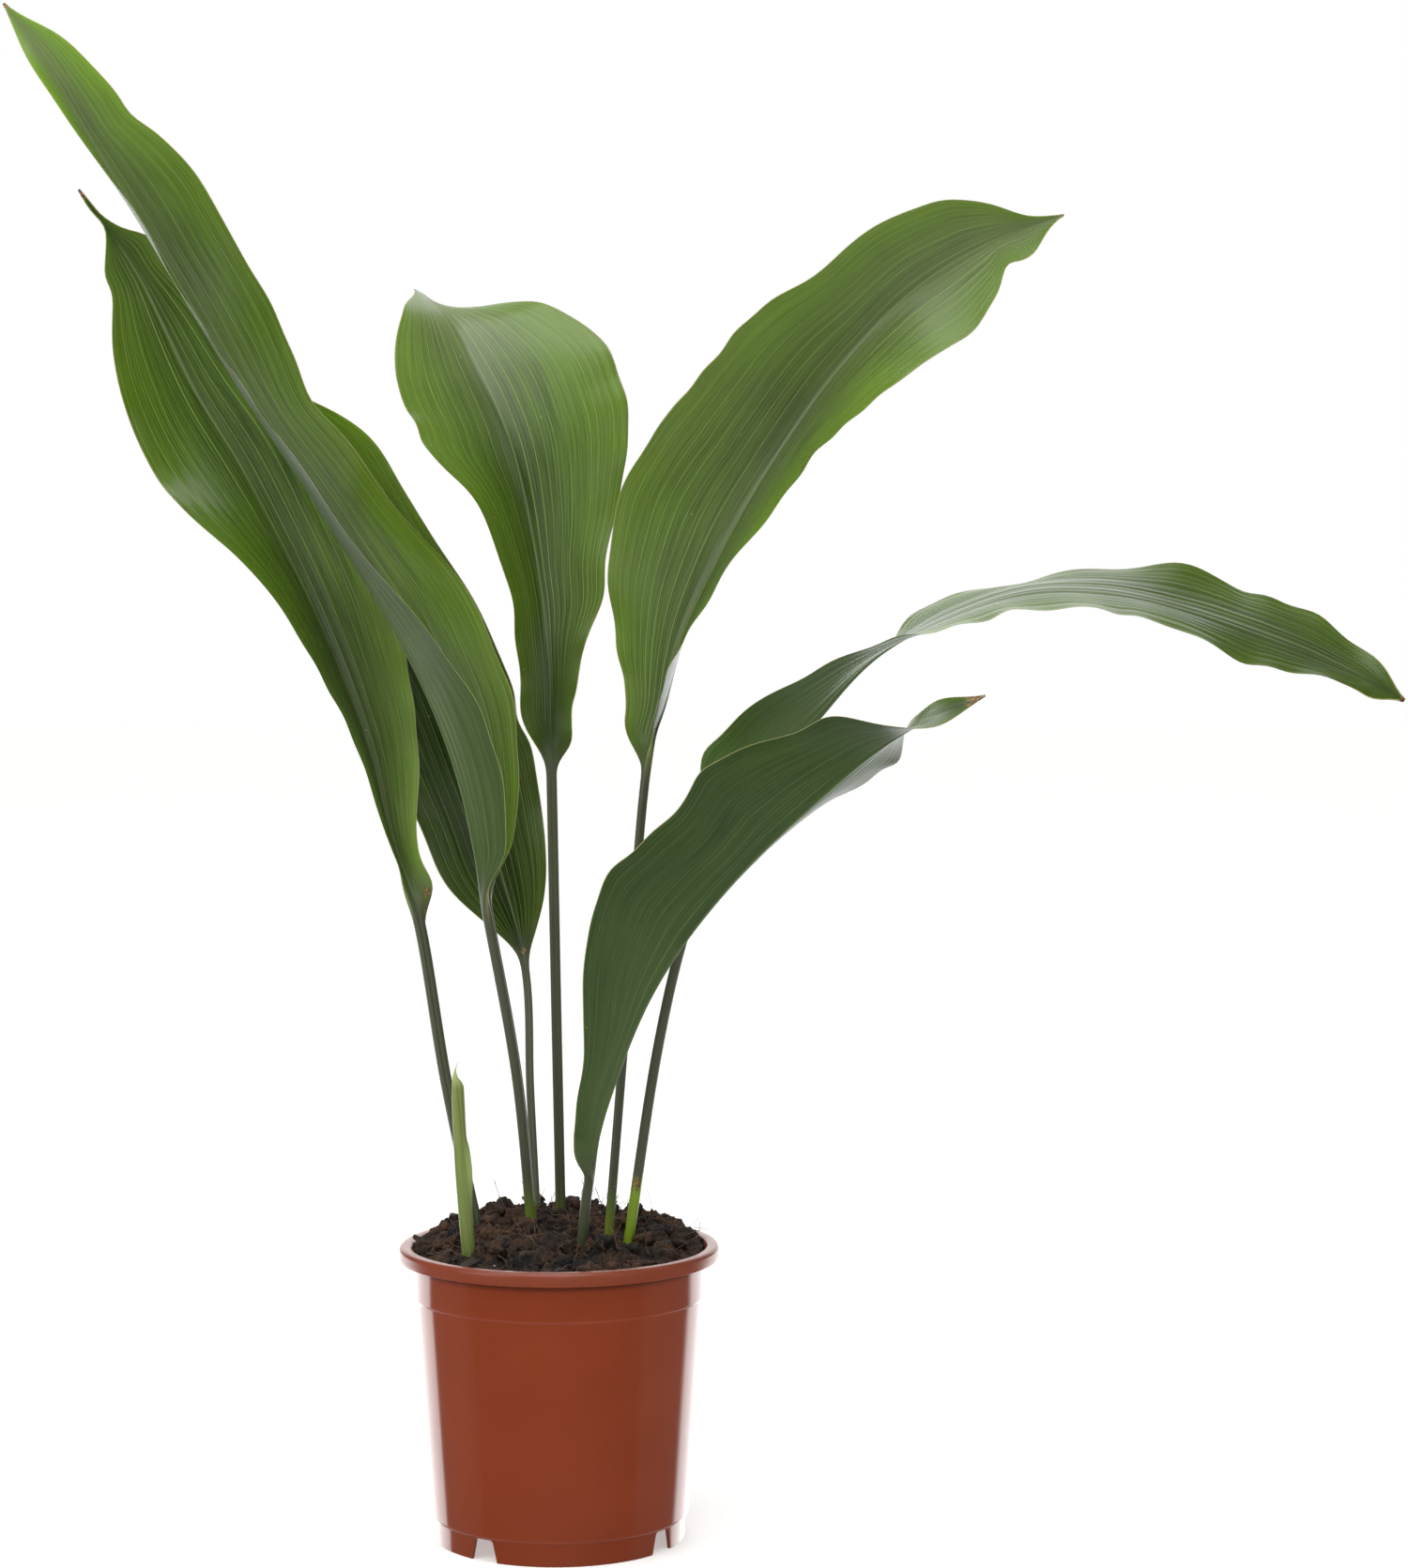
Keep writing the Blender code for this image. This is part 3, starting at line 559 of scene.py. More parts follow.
def build_leaf(number, leaf, look, material):
    """One leaf, stalk and blade, as a closed piece with its veins' places in attributes."""
    rng = np.random.default_rng(100 + number)
    path = Path(rooted(leaf.rib))
    start = path.length_at(leaf.blade + 1)
    blade_length = path.total - start
    places = np.concatenate([start * np.arange(STALK_STATIONS) / STALK_STATIONS,
                             start + blade_length * np.linspace(0, 1, BLADE_STATIONS + 1)])
    s = np.clip((places - start) / blade_length, 0, 1)
    t, under = across_samples()
    tone, bloom = (profile(row, s)[:, None] for row in (leaf.tone, leaf.bloom))

    # Which way each ring faces.
    spot = path.at(places)
    heading = path.along(places)
    level = unit(np.cross([0, 1, 0], heading))
    facing = np.cross(level, heading)
    turn = np.radians(profile(leaf.turn, s))[:, None]
    side = level * np.cos(turn) + facing * np.sin(turn)
    up = facing * np.cos(turn) - level * np.sin(turn)
    blend = smoothstep(s / STALK_BLEND)
    fold = (np.radians(profile(leaf.fold, s)) * blend)[:, None]

    # The outline, a little uneven.
    stalk = leaf.stalk * MM
    half = np.maximum(profile(leaf.half, s) * MM, TIP_HALF_WIDTH)
    widest = max(leaf.half) * MM
    uneven = np.sin(2 * pi * (UNEVEN_WAVES * s + rng.uniform())) * smoothstep(s * 5)
    half = half * (1 + UNEVEN_WIDTH * uneven)
    width = (stalk + (half - stalk) * blend)[:, None] * np.ones(AROUND)
    blend, s = blend[:, None], s[:, None]
    for hand, place, spread, size in leaf.nicks:
        width = width + size * MM * np.exp(-((s - place) / spread) ** 2) * (t * hand > 0)

    # The margins' waves, curls and frill.
    height, waves, first = leaf.wave
    frill, frills = leaf.frill
    fade = np.sin(pi * s)
    ripple = height * MM * fade * t * t * np.sin(2 * pi * (waves * s + first + WAVE_SKEW * t))
    for hand, place, spread, size in leaf.curls:
        ripple = ripple + size * MM * np.exp(-((s - place) / spread) ** 2) * t * t * (t * hand > 0)
    wander = FRILL_WANDER * np.sin(2 * pi * (WANDER_WAVES * s + rng.uniform()))
    shift = np.where(t > 0, rng.uniform(), rng.uniform())
    ripple = ripple + frill * MM * np.sqrt(fade) * np.abs(t) ** 5 * np.sin(
        2 * pi * (frills * s + shift + wander))

    # The round stalk, the blade's fold along its rib, and the pleats between its veins.
    bulge = stalk * np.sqrt(1 - t * t) * (1 - blend)
    groove = GROOVE_DEPTH * stalk * np.exp(-(t / GROOVE_WIDTH) ** 2) * (1 - blend)
    lift = STALK_RISE * bulge - groove * (under == 0) + 0.5 * CAD_BLADE * (1 - blend)
    rise = width * (np.sqrt(t * t + V_ROUNDING ** 2) - V_ROUNDING) * np.sin(fold)
    lean = fold * np.tanh(t / V_ROUNDING)
    vein = vein_places(t, widest, look.vein_spacing, rng)
    heights = rng.uniform(LOW_PLEAT, 1.0, PLEATS)
    cell = np.clip(np.floor(vein).astype(int) + PLEATS // 2, 0, PLEATS - 1)
    pleat = leaf.pleat * look.pleat * heights[cell] * 0.5 * (1 - np.cos(2 * pi * vein))
    pleat = pleat * smoothstep(np.abs(t) * 9) * (1 - np.abs(t) ** 8)
    pleat = pleat * blend * np.sqrt(np.clip(width / widest, 0, 1)) * (1 - 0.4 * s)

    # The upper face, and the underside below it.
    rise_up = (rise + ripple + lift)[..., None] * up[:, None, :]
    out = (width * t * np.cos(fold))[..., None] * side[:, None, :]
    below = side[:, None, :] * np.sin(lean)[..., None] - up[:, None, :] * np.cos(lean)[..., None]
    face = spot[:, None, :] + out + rise_up - below * pleat[..., None]
    edge = np.sqrt(np.clip(1 - t ** 10, 0, 1))
    thick = (look.thickness * blend + CAD_BLADE * (1 - blend)) * edge
    rib = RIB_HEIGHT * np.exp(-(width * t / RIB_HALF_WIDTH) ** 2) * (1.2 - s) * blend
    depth = thick + rib + (STALK_RISE + STALK_DROP) * bulge
    rings = face + below * (depth * under)[..., None]

    # Brown spots and the dry tip; then the green foot of a young stalk.
    ones = np.ones_like(rings[..., 0])
    brown = np.zeros_like(ones)
    for across, share, size in leaf.spots:
        gap = np.hypot((t - across) * width, (s - share) * blade_length) / (size * MM)
        brown = np.maximum(brown, 1 - gap)
    tip = 1 - (1 - s) * blade_length / (DRY_TIP * leaf.dry)
    brown = np.clip(np.maximum(brown, tip * ones), 0, 1)
    above = rings[..., 2] - STALK_BASE
    reach = FRESH_REACH + 2 * MM * (rng.random() + np.sin(2 * pi * t)) * ones
    ringed = leaf.fresh > RINGED_FROM
    if ringed:
        ring = RING_DARK * np.exp(-((above - reach) / RING_WIDTH) ** 2)
        brown = np.maximum(brown, ring)
    soft = RING_EDGE if ringed else FRESH_REACH
    shape = skin(rings, {
        "vein": vein * ones,
        "along": (places - start)[:, None] * ones,
        "under": under * ones,
        "spread": np.clip(width / widest, 0.02, 1),
        "rim": (1 - np.abs(t)) * width / MM,
        "mid": np.abs(t) * width / MM,
        "stalk": (1 - blend) * ones,
        "brown": brown,
        "tone": tone * ones,
        "bloom": bloom * ones,
        "fresh": leaf.fresh * np.clip((reach - above) / soft, 0, 1),
    })
    return add_piece(leaf.name + "_blade", shape, material, "leaf_green", leaf.name)


def leaf_material(look):
    """A living Aspidistra leaf: a waxy, leathery blade with parallel veins.

    The wax gives a broad soft sheen, light comes through yellow-green, and the pale
    veins and the fine lines between them follow the blade from base to tip.
    """
    material, node, shader = new_material("waxy_leaf_cuticle")
    read = {key: node("Attribute", output="Fac", attribute_name=key)
            for key in ("vein", "along", "under", "spread", "rim", "mid", "stalk", "brown",
                        "fresh", "tone", "bloom")}
    place = node("TexCoord", output="Object")
    # Where the veins run together the lines are too fine to see, so they fade.
    apart = node("MapRange", (read["spread"], 0.12, 0.5), **SMOOTH)

    def streaks(across, along, detail, seed):
        """Noise drawn out along the blade, with cells per main vein and per metre."""
        spot = node("CombineXYZ", (node("Math", (read["vein"], across), **TIMES),
                                   node("Math", (read["along"], along), **TIMES), seed))
        return node("TexNoise", {"Vector": spot, "Scale": 1.0, "Detail": detail})

    def faded(pattern):
        """A pattern that sinks to its mean where the veins run together."""
        change = node("Math", (node("Math", (pattern, 0.5), operation="SUBTRACT"), apart), **TIMES)
        return node("Math", (0.5, change), **PLUS)

    def vein_lines(share, low, high):
        """A number of lines to each main vein, solid to low mm and gone at high mm."""
        number = node("Math", (read["vein"], share), **TIMES)
        spacing = look.vein_spacing / MM / share
        gap = node("Math", (node("Math", (number, 0.5), operation="PINGPONG"),
                            node("Math", (read["spread"], spacing), **TIMES)), **TIMES)
        line = node("MapRange", (gap, low, high, 1.0, 0.0), **SMOOTH)
        return node("Math", (line, apart), **TIMES)

    def by_side(below):
        """1 on the upper face and another value on the underside."""
        return node("MapRange", (read["under"], 0.0, 1.0, 1.0, below), **SMOOTH)

    def layered(base, layers):
        """A colour with others laid over it, each by its share."""
        for share, colour in layers:
            base = node("Mix", {0: share, 6: base, 7: colour}, **OF_COLOURS)
        return base

    strength = node("MapRange", (streaks(1.0, 4.0, 0.0, 21.0), 0.3, 0.65, 0.35, 1.0), **SMOOTH)
    vein = node("Math", (vein_lines(1.0, 0.08, 0.3), strength), **TIMES)
    vein = node("Math", (vein, by_side(0.22)), **TIMES)
    broken = node("MapRange", (streaks(3.0, 14.0, 1.0, 5.5), 0.42, 0.62), **SMOOTH)
    small_vein = node("Math", (vein_lines(3.0, 0.05, 0.22), broken), **TIMES)
    small_vein = node("Math", (small_vein, by_side(0.5)), **TIMES)
    per_line = look.vein_spacing / look.striation
    fine = faded(streaks(per_line, 22.0, 2.0, 3.1))
    grain = faded(streaks(per_line * 1.6, 320.0, 1.0, 13.3))
    band = faded(streaks(0.9, 7.0, 1.0, 8.7))
    # Blotches of 60 mm.
    mottle = node("TexNoise", {"Vector": place, "Scale": 17.0, "Detail": 2.0})
    shade = 0.0
    for pattern, low, high, weight in ((fine, 0.4, 0.6, 0.46), (band, 0.3, 0.7, 0.16),
                                       (grain, 0.3, 0.7, 0.14), (mottle, 0.35, 0.65, 0.24)):
        part = node("MapRange", (pattern, low, high, 0.0, weight), **SMOOTH)
        shade = node("Math", (shade, part), **PLUS)

    # From the rib, 0, to the margin, 1: the blade thins and turns a fresher green.
    across = node("Math", (read["mid"], read["rim"]), **PLUS)
    outward = node("Math", (read["mid"], across), operation="DIVIDE")
    deep = layered(rgba("#1E2E0C"), [(shade, rgba(look.upper))])
    fresher = layered(rgba(look.upper), [(shade, rgba(look.upper_light))])
    upper = layered(deep, [
        (node("MapRange", (outward, 0.0, 0.7, 0.3, 1.0), **SMOOTH), fresher),
        (node("MapRange", (outward, 0.5, 1.0, 0.0, 0.35), **SMOOTH), rgba("#7C9C26")),
    ])
    under = layered(rgba(look.under, 0.75), [(shade, rgba(look.under, 1.3))])
    face = layered(upper, [(read["under"], under)])
    face = node("VectorMath", {0: face, "Scale": read["tone"]}, operation="SCALE")

    settled = node("MapRange", (outward, 0.1, 0.9, 1.2, 0.5), **SMOOTH)
    rib_line = node("MapRange", (read["mid"], 0.5, 1.4, 0.45, 0.0), **SMOOTH)
    stalk = layered(rgba(look.stalk, 0.75), [(shade, rgba(look.stalk, 1.3))])
    blade_only = node("Math", (1.0, read["stalk"]), operation="SUBTRACT")
    rim = node("MapRange", (read["rim"], 0.15, 0.6, 0.8, 0.0), **SMOOTH)
    rim = node("Math", (rim, blade_only), **TIMES)
    # A pale speck here and there, in cells of 17 mm, and ragged scorching of 1.4 mm grain.
    specks = node("TexVoronoi", {"Vector": place, "Scale": 60.0})
    ragged = node("TexNoise", {"Vector": place, "Scale": 700.0, "Detail": 3.0})
    scorch = node("Math", (read["brown"], node("Math", (ragged, 0.7), **TIMES)), **PLUS)
    scorch = node("MapRange", (scorch, 0.6, 0.85), **SMOOTH)
    crisp = node("MapRange", (ragged, 0.4, 0.6), **SMOOTH)
    face = layered(face, [
        (node("Math", (read["bloom"], settled), **TIMES), rgba(look.bloom)),
        (node("Math", (small_vein, 0.3), **TIMES), rgba(look.vein)),
        (node("Math", (vein, 0.6), **TIMES), rgba(look.vein)),
        (node("Math", (rib_line, apart), **TIMES), rgba("#66744A")),
        (read["stalk"], stalk),
        (node("MapRange", (read["fresh"], 0.0, 0.8), **SMOOTH), rgba(look.fresh)),
        (node("Math", (rim, by_side(0.4)), **TIMES), rgba(look.margin)),
        (node("MapRange", (specks, 0.02, 0.035, 0.5, 0.0), **SMOOTH), rgba("#B9BD8E")),
        (scorch, layered(rgba("#5A3D1C"), [(crisp, rgba("#9A7B45"))])),
    ])

    sheen = node("MapRange", (fine, 0.3, 0.7, 0.25, 0.35), **SMOOTH)
    duller = node("Math", (read["under"], 0.1), **TIMES)
    relief = node("Math", (node("Math", (fine, 0.5), **TIMES),
                           node("Math", (vein, -0.4), **TIMES)), **PLUS)
    relief = node("Math", (relief, node("Math", (band, 1.6), **TIMES)), **PLUS)
    bump = node("Bump", {"Strength": 0.28, "Distance": 0.25 * MM, "Height": relief})
    feed(shader, {"Base Color": face, "Normal": bump, "IOR": 1.46,
                  "Roughness": node("Math", (sheen, duller), **PLUS)})

    glow = layered(rgba(look.glow, 0.6), [
        (shade, rgba(look.glow)),
        (node("Math", (vein, 0.35), **TIMES), rgba("#D8DF8E")),
    ])
    glow = node("VectorMath", {0: glow, "Scale": read["tone"]}, operation="SCALE")
    glow = layered(glow, [(scorch, rgba("#7A5526"))])
    thin = node("MapRange", (outward, 0.0, 1.0, 0.08, 0.3), **SMOOTH)
    thinner = node("MapRange", (read["along"], 0.1, 0.45, 0.5, 1.25), **SMOOTH)
    share = node("Math", (node("Math", (blade_only, thin), **TIMES), thinner), **TIMES)
    through = node("BsdfTranslucent", {"Color": glow, "Normal": bump})
    both = node("MixShader", (share, shader.outputs[0], through))
    feed(material.node_tree.nodes["Material Output"], {"Surface": both})
    return material


class PLANT_OT_leaves(bpy.types.Operator):
    """Make the seven leaves, each one piece from the stalk's foot to the tip"""

    bl_idname = "plant.leaves"
    bl_label = "Leaves"

    def execute(self, context):
        look = context.scene.plant_leaves
        material = leaf_material(look)
        for number, leaf in enumerate(LEAVES):
            build_leaf(number, leaf, look, material)
        return {"FINISHED"}


# --- Shoot -----------------------------------------------------------------------------

SHOOT_RIB = [(-45, -43, 155), (-49, -40, 205), (-51, -38, 246), (-51.5, -37, 258)]
SHOOT_AROUND = 72
SHOOT_STATIONS = 130
# The roll's left and right edges, in mm from its line, at shares of its height: it is cut
# off aslant on the right and runs out to a small hooked point on the left.
SHOOT_SHARES = [0, 0.3, 0.6, 0.86, 0.905, 0.925, 0.94, 0.965, 0.985, 1]
SHOOT_LEFT = [-3.6, -3.7, -3.7, -3.5, -3.1, -2.9, -2.6, -1.6, -0.2, 1.2]
SHOOT_RIGHT = [3.6, 3.9, 3.7, 3.5, 3.4, 2.2, 0.4, -0.5, 0.3, 1.4]
# The roll is a little flat. Its outer edge winds round it from SEAM_START, in radians, and
# stands proud over a share of the turn; half-way up it opens as a lip on the right.
ROLL_DEPTH = 0.42
SEAM_START = 1.0
SEAM_WINDS = 1.9
SEAM_FROM, SEAM_TO = 0.9, 0.97
SEAM_STANDS = 0.1
LIP_MIDDLE = 0.6
LIP_SPREAD = 0.11
LIP_END = 0.67
LIP_FALL = 0.03
LIP_HEIGHT = 1.9 * MM
SHEATH_TOP = 0.29
SHEATH_STATIONS = 40
SHEATH_LEFT = -4.3 * MM
SHEATH_DEPTH = 2.6 * MM


def shoot_material(look):
    """The young leaf, still rolled, and the scale at its foot: satin, light green, with
    faint lines along it. Its cut top and its lip are paler, where light comes through."""
    material, node, shader = new_material("rolled_young_leaf")
    read = {key: node("Attribute", output="Fac", attribute_name=key)
            for key in ("around", "along", "pale", "scale")}
    place = node("CombineXYZ", (read["around"], read["along"]))
    lines = node("TexNoise", {"Vector": node("Mapping", {0: place, "Scale": (26, 14, 1)}),
                              "Scale": 1.0, "Detail": 2.0})
    face = node("ValToRGB", (lines,), stops=((0.3, rgba(look.skin, 0.7)),
                                             (0.7, rgba(look.skin, 1.25))))
    for share, colour in (
            (node("MapRange", (read["along"], 0.0, 0.06, 0.8, 0.0)), rgba("#5F7420")),
            (node("Math", (read["scale"], 0.75), **TIMES), rgba("#44600F")),
            (read["pale"], rgba("#C3D68C"))):
        face = node("Mix", {0: share, 6: face, 7: colour}, **OF_COLOURS)
    bump = node("Bump", {"Strength": 0.3, "Distance": 0.2 * MM, "Height": lines})
    feed(shader, {"Base Color": face, "Roughness": 0.38, "IOR": 1.45, "Normal": bump})
    through = node("BsdfTranslucent", {"Color": face})
    both = node("MixShader", (0.2, shader.outputs[0], through))
    feed(material.node_tree.nodes["Material Output"], {"Surface": both})
    return material


def roll(path, share, left, right, depth, forward):
    """Rings of a flattened roll between two edges, with each point's angle."""
    places = path.total * share[:, 0]
    heading = path.along(places)
    level = unit(np.cross([0, 1, 0], heading))
    facing = np.cross(level, heading)
    if facing[0, 1] > 0:
        facing = -facing
    angle = 2 * pi * np.arange(SHOOT_AROUND) / SHOOT_AROUND
    across = (left + right) / 2 + (right - left) / 2 * np.cos(angle)
    out = depth * np.sin(angle) + forward
    rings = path.at(places)[:, None, :] + across[..., None] * level[:, None, :] \
        + out[..., None] * facing[:, None, :]
    return rings, angle, places[:, None]


def build_shoot(look, material):
    """The rolled leaf, whose outer edge stands proud half-way up, and the scale that wraps
    its foot, each a closed roll."""
    path = Path(rooted(SHOOT_RIB))
    share = np.linspace(0, 1, SHOOT_STATIONS)[:, None]
    left, right = (np.interp(share, SHOOT_SHARES, edge) * MM
                   for edge in (SHOOT_LEFT, SHOOT_RIGHT))
    # The lip swells slowly to its fullest and ends soon above it.
    lip = np.exp(-((np.minimum(share, LIP_END) - LIP_MIDDLE) / LIP_SPREAD) ** 2)
    lip = lip * np.exp(-(np.maximum(share - LIP_END, 0) / LIP_FALL) ** 2)
    depth = ROLL_DEPTH * (right - left) + 0.2 * MM
    rings, angle, places = roll(path, share, left, right, depth, 0)
    seam = SEAM_START + SEAM_WINDS * share
    wound = ((angle - seam) / (2 * pi)) % 1
    edge = smoothstep((wound - SEAM_FROM) / (SEAM_TO - SEAM_FROM))
    edge = edge * (1 - smoothstep((wound - SEAM_TO) / (1 - SEAM_TO)))
    centre = rings.mean(axis=1, keepdims=True)
    rings = centre + (rings - centre) * (0.96 + SEAM_STANDS * edge)[..., None]
    side = np.clip(np.cos(angle), 0, 1) ** 3
    rings[..., 0] += LIP_HEIGHT * lip * side
    ones = np.ones_like(rings[..., 0])
    shape = skin(rings, {
        "around": wound * ones,
        "along": places * ones,
        "pale": np.clip(np.clip((share - 0.9) / 0.08, 0, 1) + 0.7 * lip * side, 0, 1),
        "scale": 0 * ones,
    })
    share = np.linspace(0, SHEATH_TOP, SHEATH_STATIONS)[:, None]
    reach = share / SHEATH_TOP
    left = np.full_like(share, SHEATH_LEFT)
    right = left + (0.3 + 8.3 * (1 - reach)) * MM
    depth = SHEATH_DEPTH * np.sqrt(1.02 - reach)
    rings, angle, places = roll(path, share, left, right, depth, SHEATH_DEPTH / 2)
    ones = ones[:SHEATH_STATIONS]
    merge(shape, skin(rings, {
        "around": (angle / (2 * pi)) * ones,
        "along": places * ones,
        "pale": 0.6 * np.clip(-np.cos(angle), 0, 1) ** 8 * ones,
        "scale": ones,
    }))
    return add_piece("shoot_rolled_leaf", shape, material, "young_shoot", "shoot")


class PLANT_OT_shoot(bpy.types.Operator):
    """Make the young leaf that is still rolled up"""

    bl_idname = "plant.shoot"
    bl_label = "Shoot"

    def execute(self, context):
        look = context.scene.plant_shoot
        build_shoot(look, shoot_material(look))
        return {"FINISHED"}


# --- Pot -------------------------------------------------------------------------------

# The inside of the wall is straight between two places, each a radius and a height.
INSIDE_LOW = (64.4 * MM, 15.7 * MM)
INSIDE_HIGH = (76.6 * MM, POT_HEIGHT - 4.4 * MM)
FOOT_HEIGHT = 12.5 * MM
NOTCH_ANGLES = [radians(-124 + 90 * k) for k in range(4)]
NOTCH_DEPTH = 8 * MM
NOTCH_HEIGHT = 13 * MM
NOTCH_MIDDLE = 5.2 * MM
NOTCH_FOOT = 17 * MM
NOTCH_TOP = 11 * MM
DRAIN_ANGLES = [radians(12 + 60 * k) for k in range(6)]
DRAIN_CIRCLE = 46 * MM
DRAIN_RADIUS = 4 * MM


def plastic_material(look):
    """Injection-moulded polypropylene, coloured terracotta.

    It gives a smooth satin skin with sharp soft-edged reflections, a faint mottle from
    the mould, and a little dust and scuffing.
    """
    material, node, shader = new_material("moulded_polypropylene")
    place = node("TexCoord", output="Object")
    level = node("SeparateXYZ", (place,), output="Z")
    # Clouds of 45 mm in the colour, and dust in spots of 9 mm.
    cloud = node("TexNoise", {"Vector": place, "Scale": 22.0, "Detail": 4.0})
    clean = node("ValToRGB", (cloud,), stops=((0.3, rgba(look.plastic, 0.94)),
                                              (0.75, rgba(look.plastic, 1.06))))
    dust = node("TexNoise", {"Vector": place, "Scale": 110.0, "Detail": 3.0})
    # Dirt gathers in the corner under the lip.
    corner = POT_HEIGHT - look.lip_drop
    dirt = node("MapRange", (level, corner - 5 * MM, corner - 0.8 * MM, 0.0, 0.75), **SMOOTH)
    below = node("Math", (level, corner - 0.1 * MM), operation="LESS_THAN")
    dirty = node("Math", (dirt, below), **TIMES)
    # The lip is handled most, so it is duller.
    worn = node("MapRange", (level, POT_HEIGHT - 9 * MM, POT_HEIGHT - 5 * MM, 0.0, 0.22))
    rough = node("MapRange", (dust, 0.3, 0.8, 0.09, 0.14))
    feed(shader, {
        "Base Color": node("Mix", {0: dirty, 6: clean, 7: rgba("#2A120A")}, **OF_COLOURS),
        "Roughness": node("Math", (rough, worn), **PLUS),
        "IOR": 1.49,
        "Normal": node("Bump", {"Strength": 0.1, "Distance": 0.04 * MM, "Height": dust}),
    })
    return material


def pot_profile(look):
    """Corners of the pot's section, each with the radius that rounds it, from the floor's
    middle up the inside, over the lip, and down the outside to the foot."""
    top = POT_HEIGHT
    lip_bottom = top - look.lip_drop
    floor = FOOT_HEIGHT + look.wall
    skirt = LIP_RADIUS - look.wall
    foot_inside = look.foot_radius - 2.2 * MM
    step = 0.75 * MM
    return [
        (0, floor, 0),
        (64.2 * MM, floor, 1.5 * MM),
        (76.6 * MM, top - 4.4 * MM, 0),
        (77.6 * MM, top - 1.4 * MM, 1.0 * MM),
        (79.2 * MM, top, 0.9 * MM),
        (LIP_RADIUS - 1.9 * MM, top - 0.1 * MM, 0.8 * MM),
        (LIP_RADIUS - 0.4 * MM, top - 1.5 * MM, 0.8 * MM),
        (LIP_RADIUS, lip_bottom, 0.6 * MM),
        (skirt, lip_bottom, 0.5 * MM),
        (skirt - 0.4 * MM, top - 1.9 * MM, 0.8 * MM),
        (look.collar_radius, top - 2.2 * MM, 0.8 * MM),
        (look.collar_radius - step, look.step_height + 0.4 * MM, 0.4 * MM),
        (look.collar_radius - 2 * step, look.step_height - 0.5 * MM, 0.4 * MM),
        (68.4 * MM, FOOT_HEIGHT + 1.0 * MM, 0.5 * MM),
        (67.6 * MM, FOOT_HEIGHT, 0.3 * MM),
        (look.foot_radius, FOOT_HEIGHT - 0.5 * MM, 0.3 * MM),
        (look.foot_radius - 0.3 * MM, 0, 0.5 * MM),
        (foot_inside, 0, 0.4 * MM),
        (foot_inside, FOOT_HEIGHT, 1.0 * MM),
        (0, FOOT_HEIGHT, 0),
    ]


def turned_pot(look):
    """The pot's section, its corners rounded, spun about the axis into a closed wall."""
    shape = bmesh.new()
    corners = pot_profile(look)
    verts = [shape.verts.new((r, 0, z)) for r, z, _ in corners]
    for a, b in zip(verts, verts[1:]):
        shape.edges.new((a, b))
    for vert, (_, _, radius) in zip(verts, corners):
        if radius:
            bmesh.ops.bevel(shape, geom=[vert], offset=radius, segments=4, profile=0.5,
                            affect="VERTICES", material=-1)
    bmesh.ops.spin(shape, geom=shape.verts[:] + shape.edges[:], cent=(0, 0, 0),
                   axis=(0, 0, 1), angle=2 * pi, steps=look.sides, use_merge=True)
    bmesh.ops.remove_doubles(shape, verts=shape.verts, dist=0.005 * MM)
    bmesh.ops.recalc_face_normals(shape, faces=shape.faces)
    return shape


def notch_cutter():
    """A slot for the foot ring that widens downwards and has rounded upper corners."""
    shape = bmesh.new()
    bmesh.ops.create_cube(shape, size=1)
    bmesh.ops.scale(shape, vec=(NOTCH_DEPTH, NOTCH_FOOT, NOTCH_HEIGHT), verts=shape.verts)
    for vert in shape.verts:
        if vert.co.z > 0:
            vert.co.y *= NOTCH_TOP / NOTCH_FOOT
    upper = [e for e in shape.edges if all(v.co.z > 0 for v in e.verts)
             and abs(e.verts[0].co.x - e.verts[1].co.x) > NOTCH_DEPTH / 2]
    bmesh.ops.bevel(shape, geom=upper, offset=1.5 * MM, segments=4, affect="EDGES",
                    profile=0.5, material=-1)
    bmesh.ops.recalc_face_normals(shape, faces=shape.faces)
    return shape


def drain_cutter():
    shape = bmesh.new()
    bmesh.ops.create_cone(shape, cap_ends=True, segments=32, radius1=DRAIN_RADIUS,
                          radius2=DRAIN_RADIUS, depth=8 * MM)
    return shape


def place_cutter(name, shape, angle, radius, z):
    cutter = new_object(name, shape)
    cutter.location = AXIS + Vector((radius * cos(angle), radius * sin(angle), z))
    cutter.rotation_euler.z = angle
    return cutter


def cut_away(piece, cutters):
    """Take the cutters out of a piece and keep the result as its mesh."""
    for cutter in cutters:
        boolean = piece.modifiers.new(cutter.name, "BOOLEAN")
        boolean.operation = "DIFFERENCE"
        boolean.object = cutter
        boolean.solver = "EXACT"
    graph = bpy.context.evaluated_depsgraph_get()
    result = bpy.data.meshes.new_from_object(piece.evaluated_get(graph))
    piece.modifiers.clear()
    old = piece.data
    piece.data = result
    bpy.data.meshes.remove(old)
    for cutter in cutters:
        bpy.data.objects.remove(cutter)


class PLANT_OT_pot(bpy.types.Operator):
    """Make the moulded grower's pot with its lip, step, notched foot and drain holes"""

    bl_idname = "plant.pot"
    bl_label = "Pot"

    def execute(self, context):
        look = context.scene.plant_pot
        shape = turned_pot(look)
        bmesh.ops.translate(shape, vec=AXIS, verts=shape.verts)
        pot = add_piece("grower_pot", shape, plastic_material(look), "terracotta_plastic",
                        "pot")
        middle = look.foot_radius - 1.1 * MM
        cutters = [place_cutter(f"notch_{k}", notch_cutter(), angle, middle, NOTCH_MIDDLE)
                   for k, angle in enumerate(NOTCH_ANGLES)]
        cutters += [place_cutter(f"drain_{k}", drain_cutter(), angle, DRAIN_CIRCLE,
                                 FOOT_HEIGHT)
                    for k, angle in enumerate(DRAIN_ANGLES)]
        bpy.context.view_layer.update()
        cut_away(pot, cutters)
        pot.data.set_sharp_from_angle(angle=radians(32))
        return {"FINISHED"}


# --- Soil ------------------------------------------------------------------------------

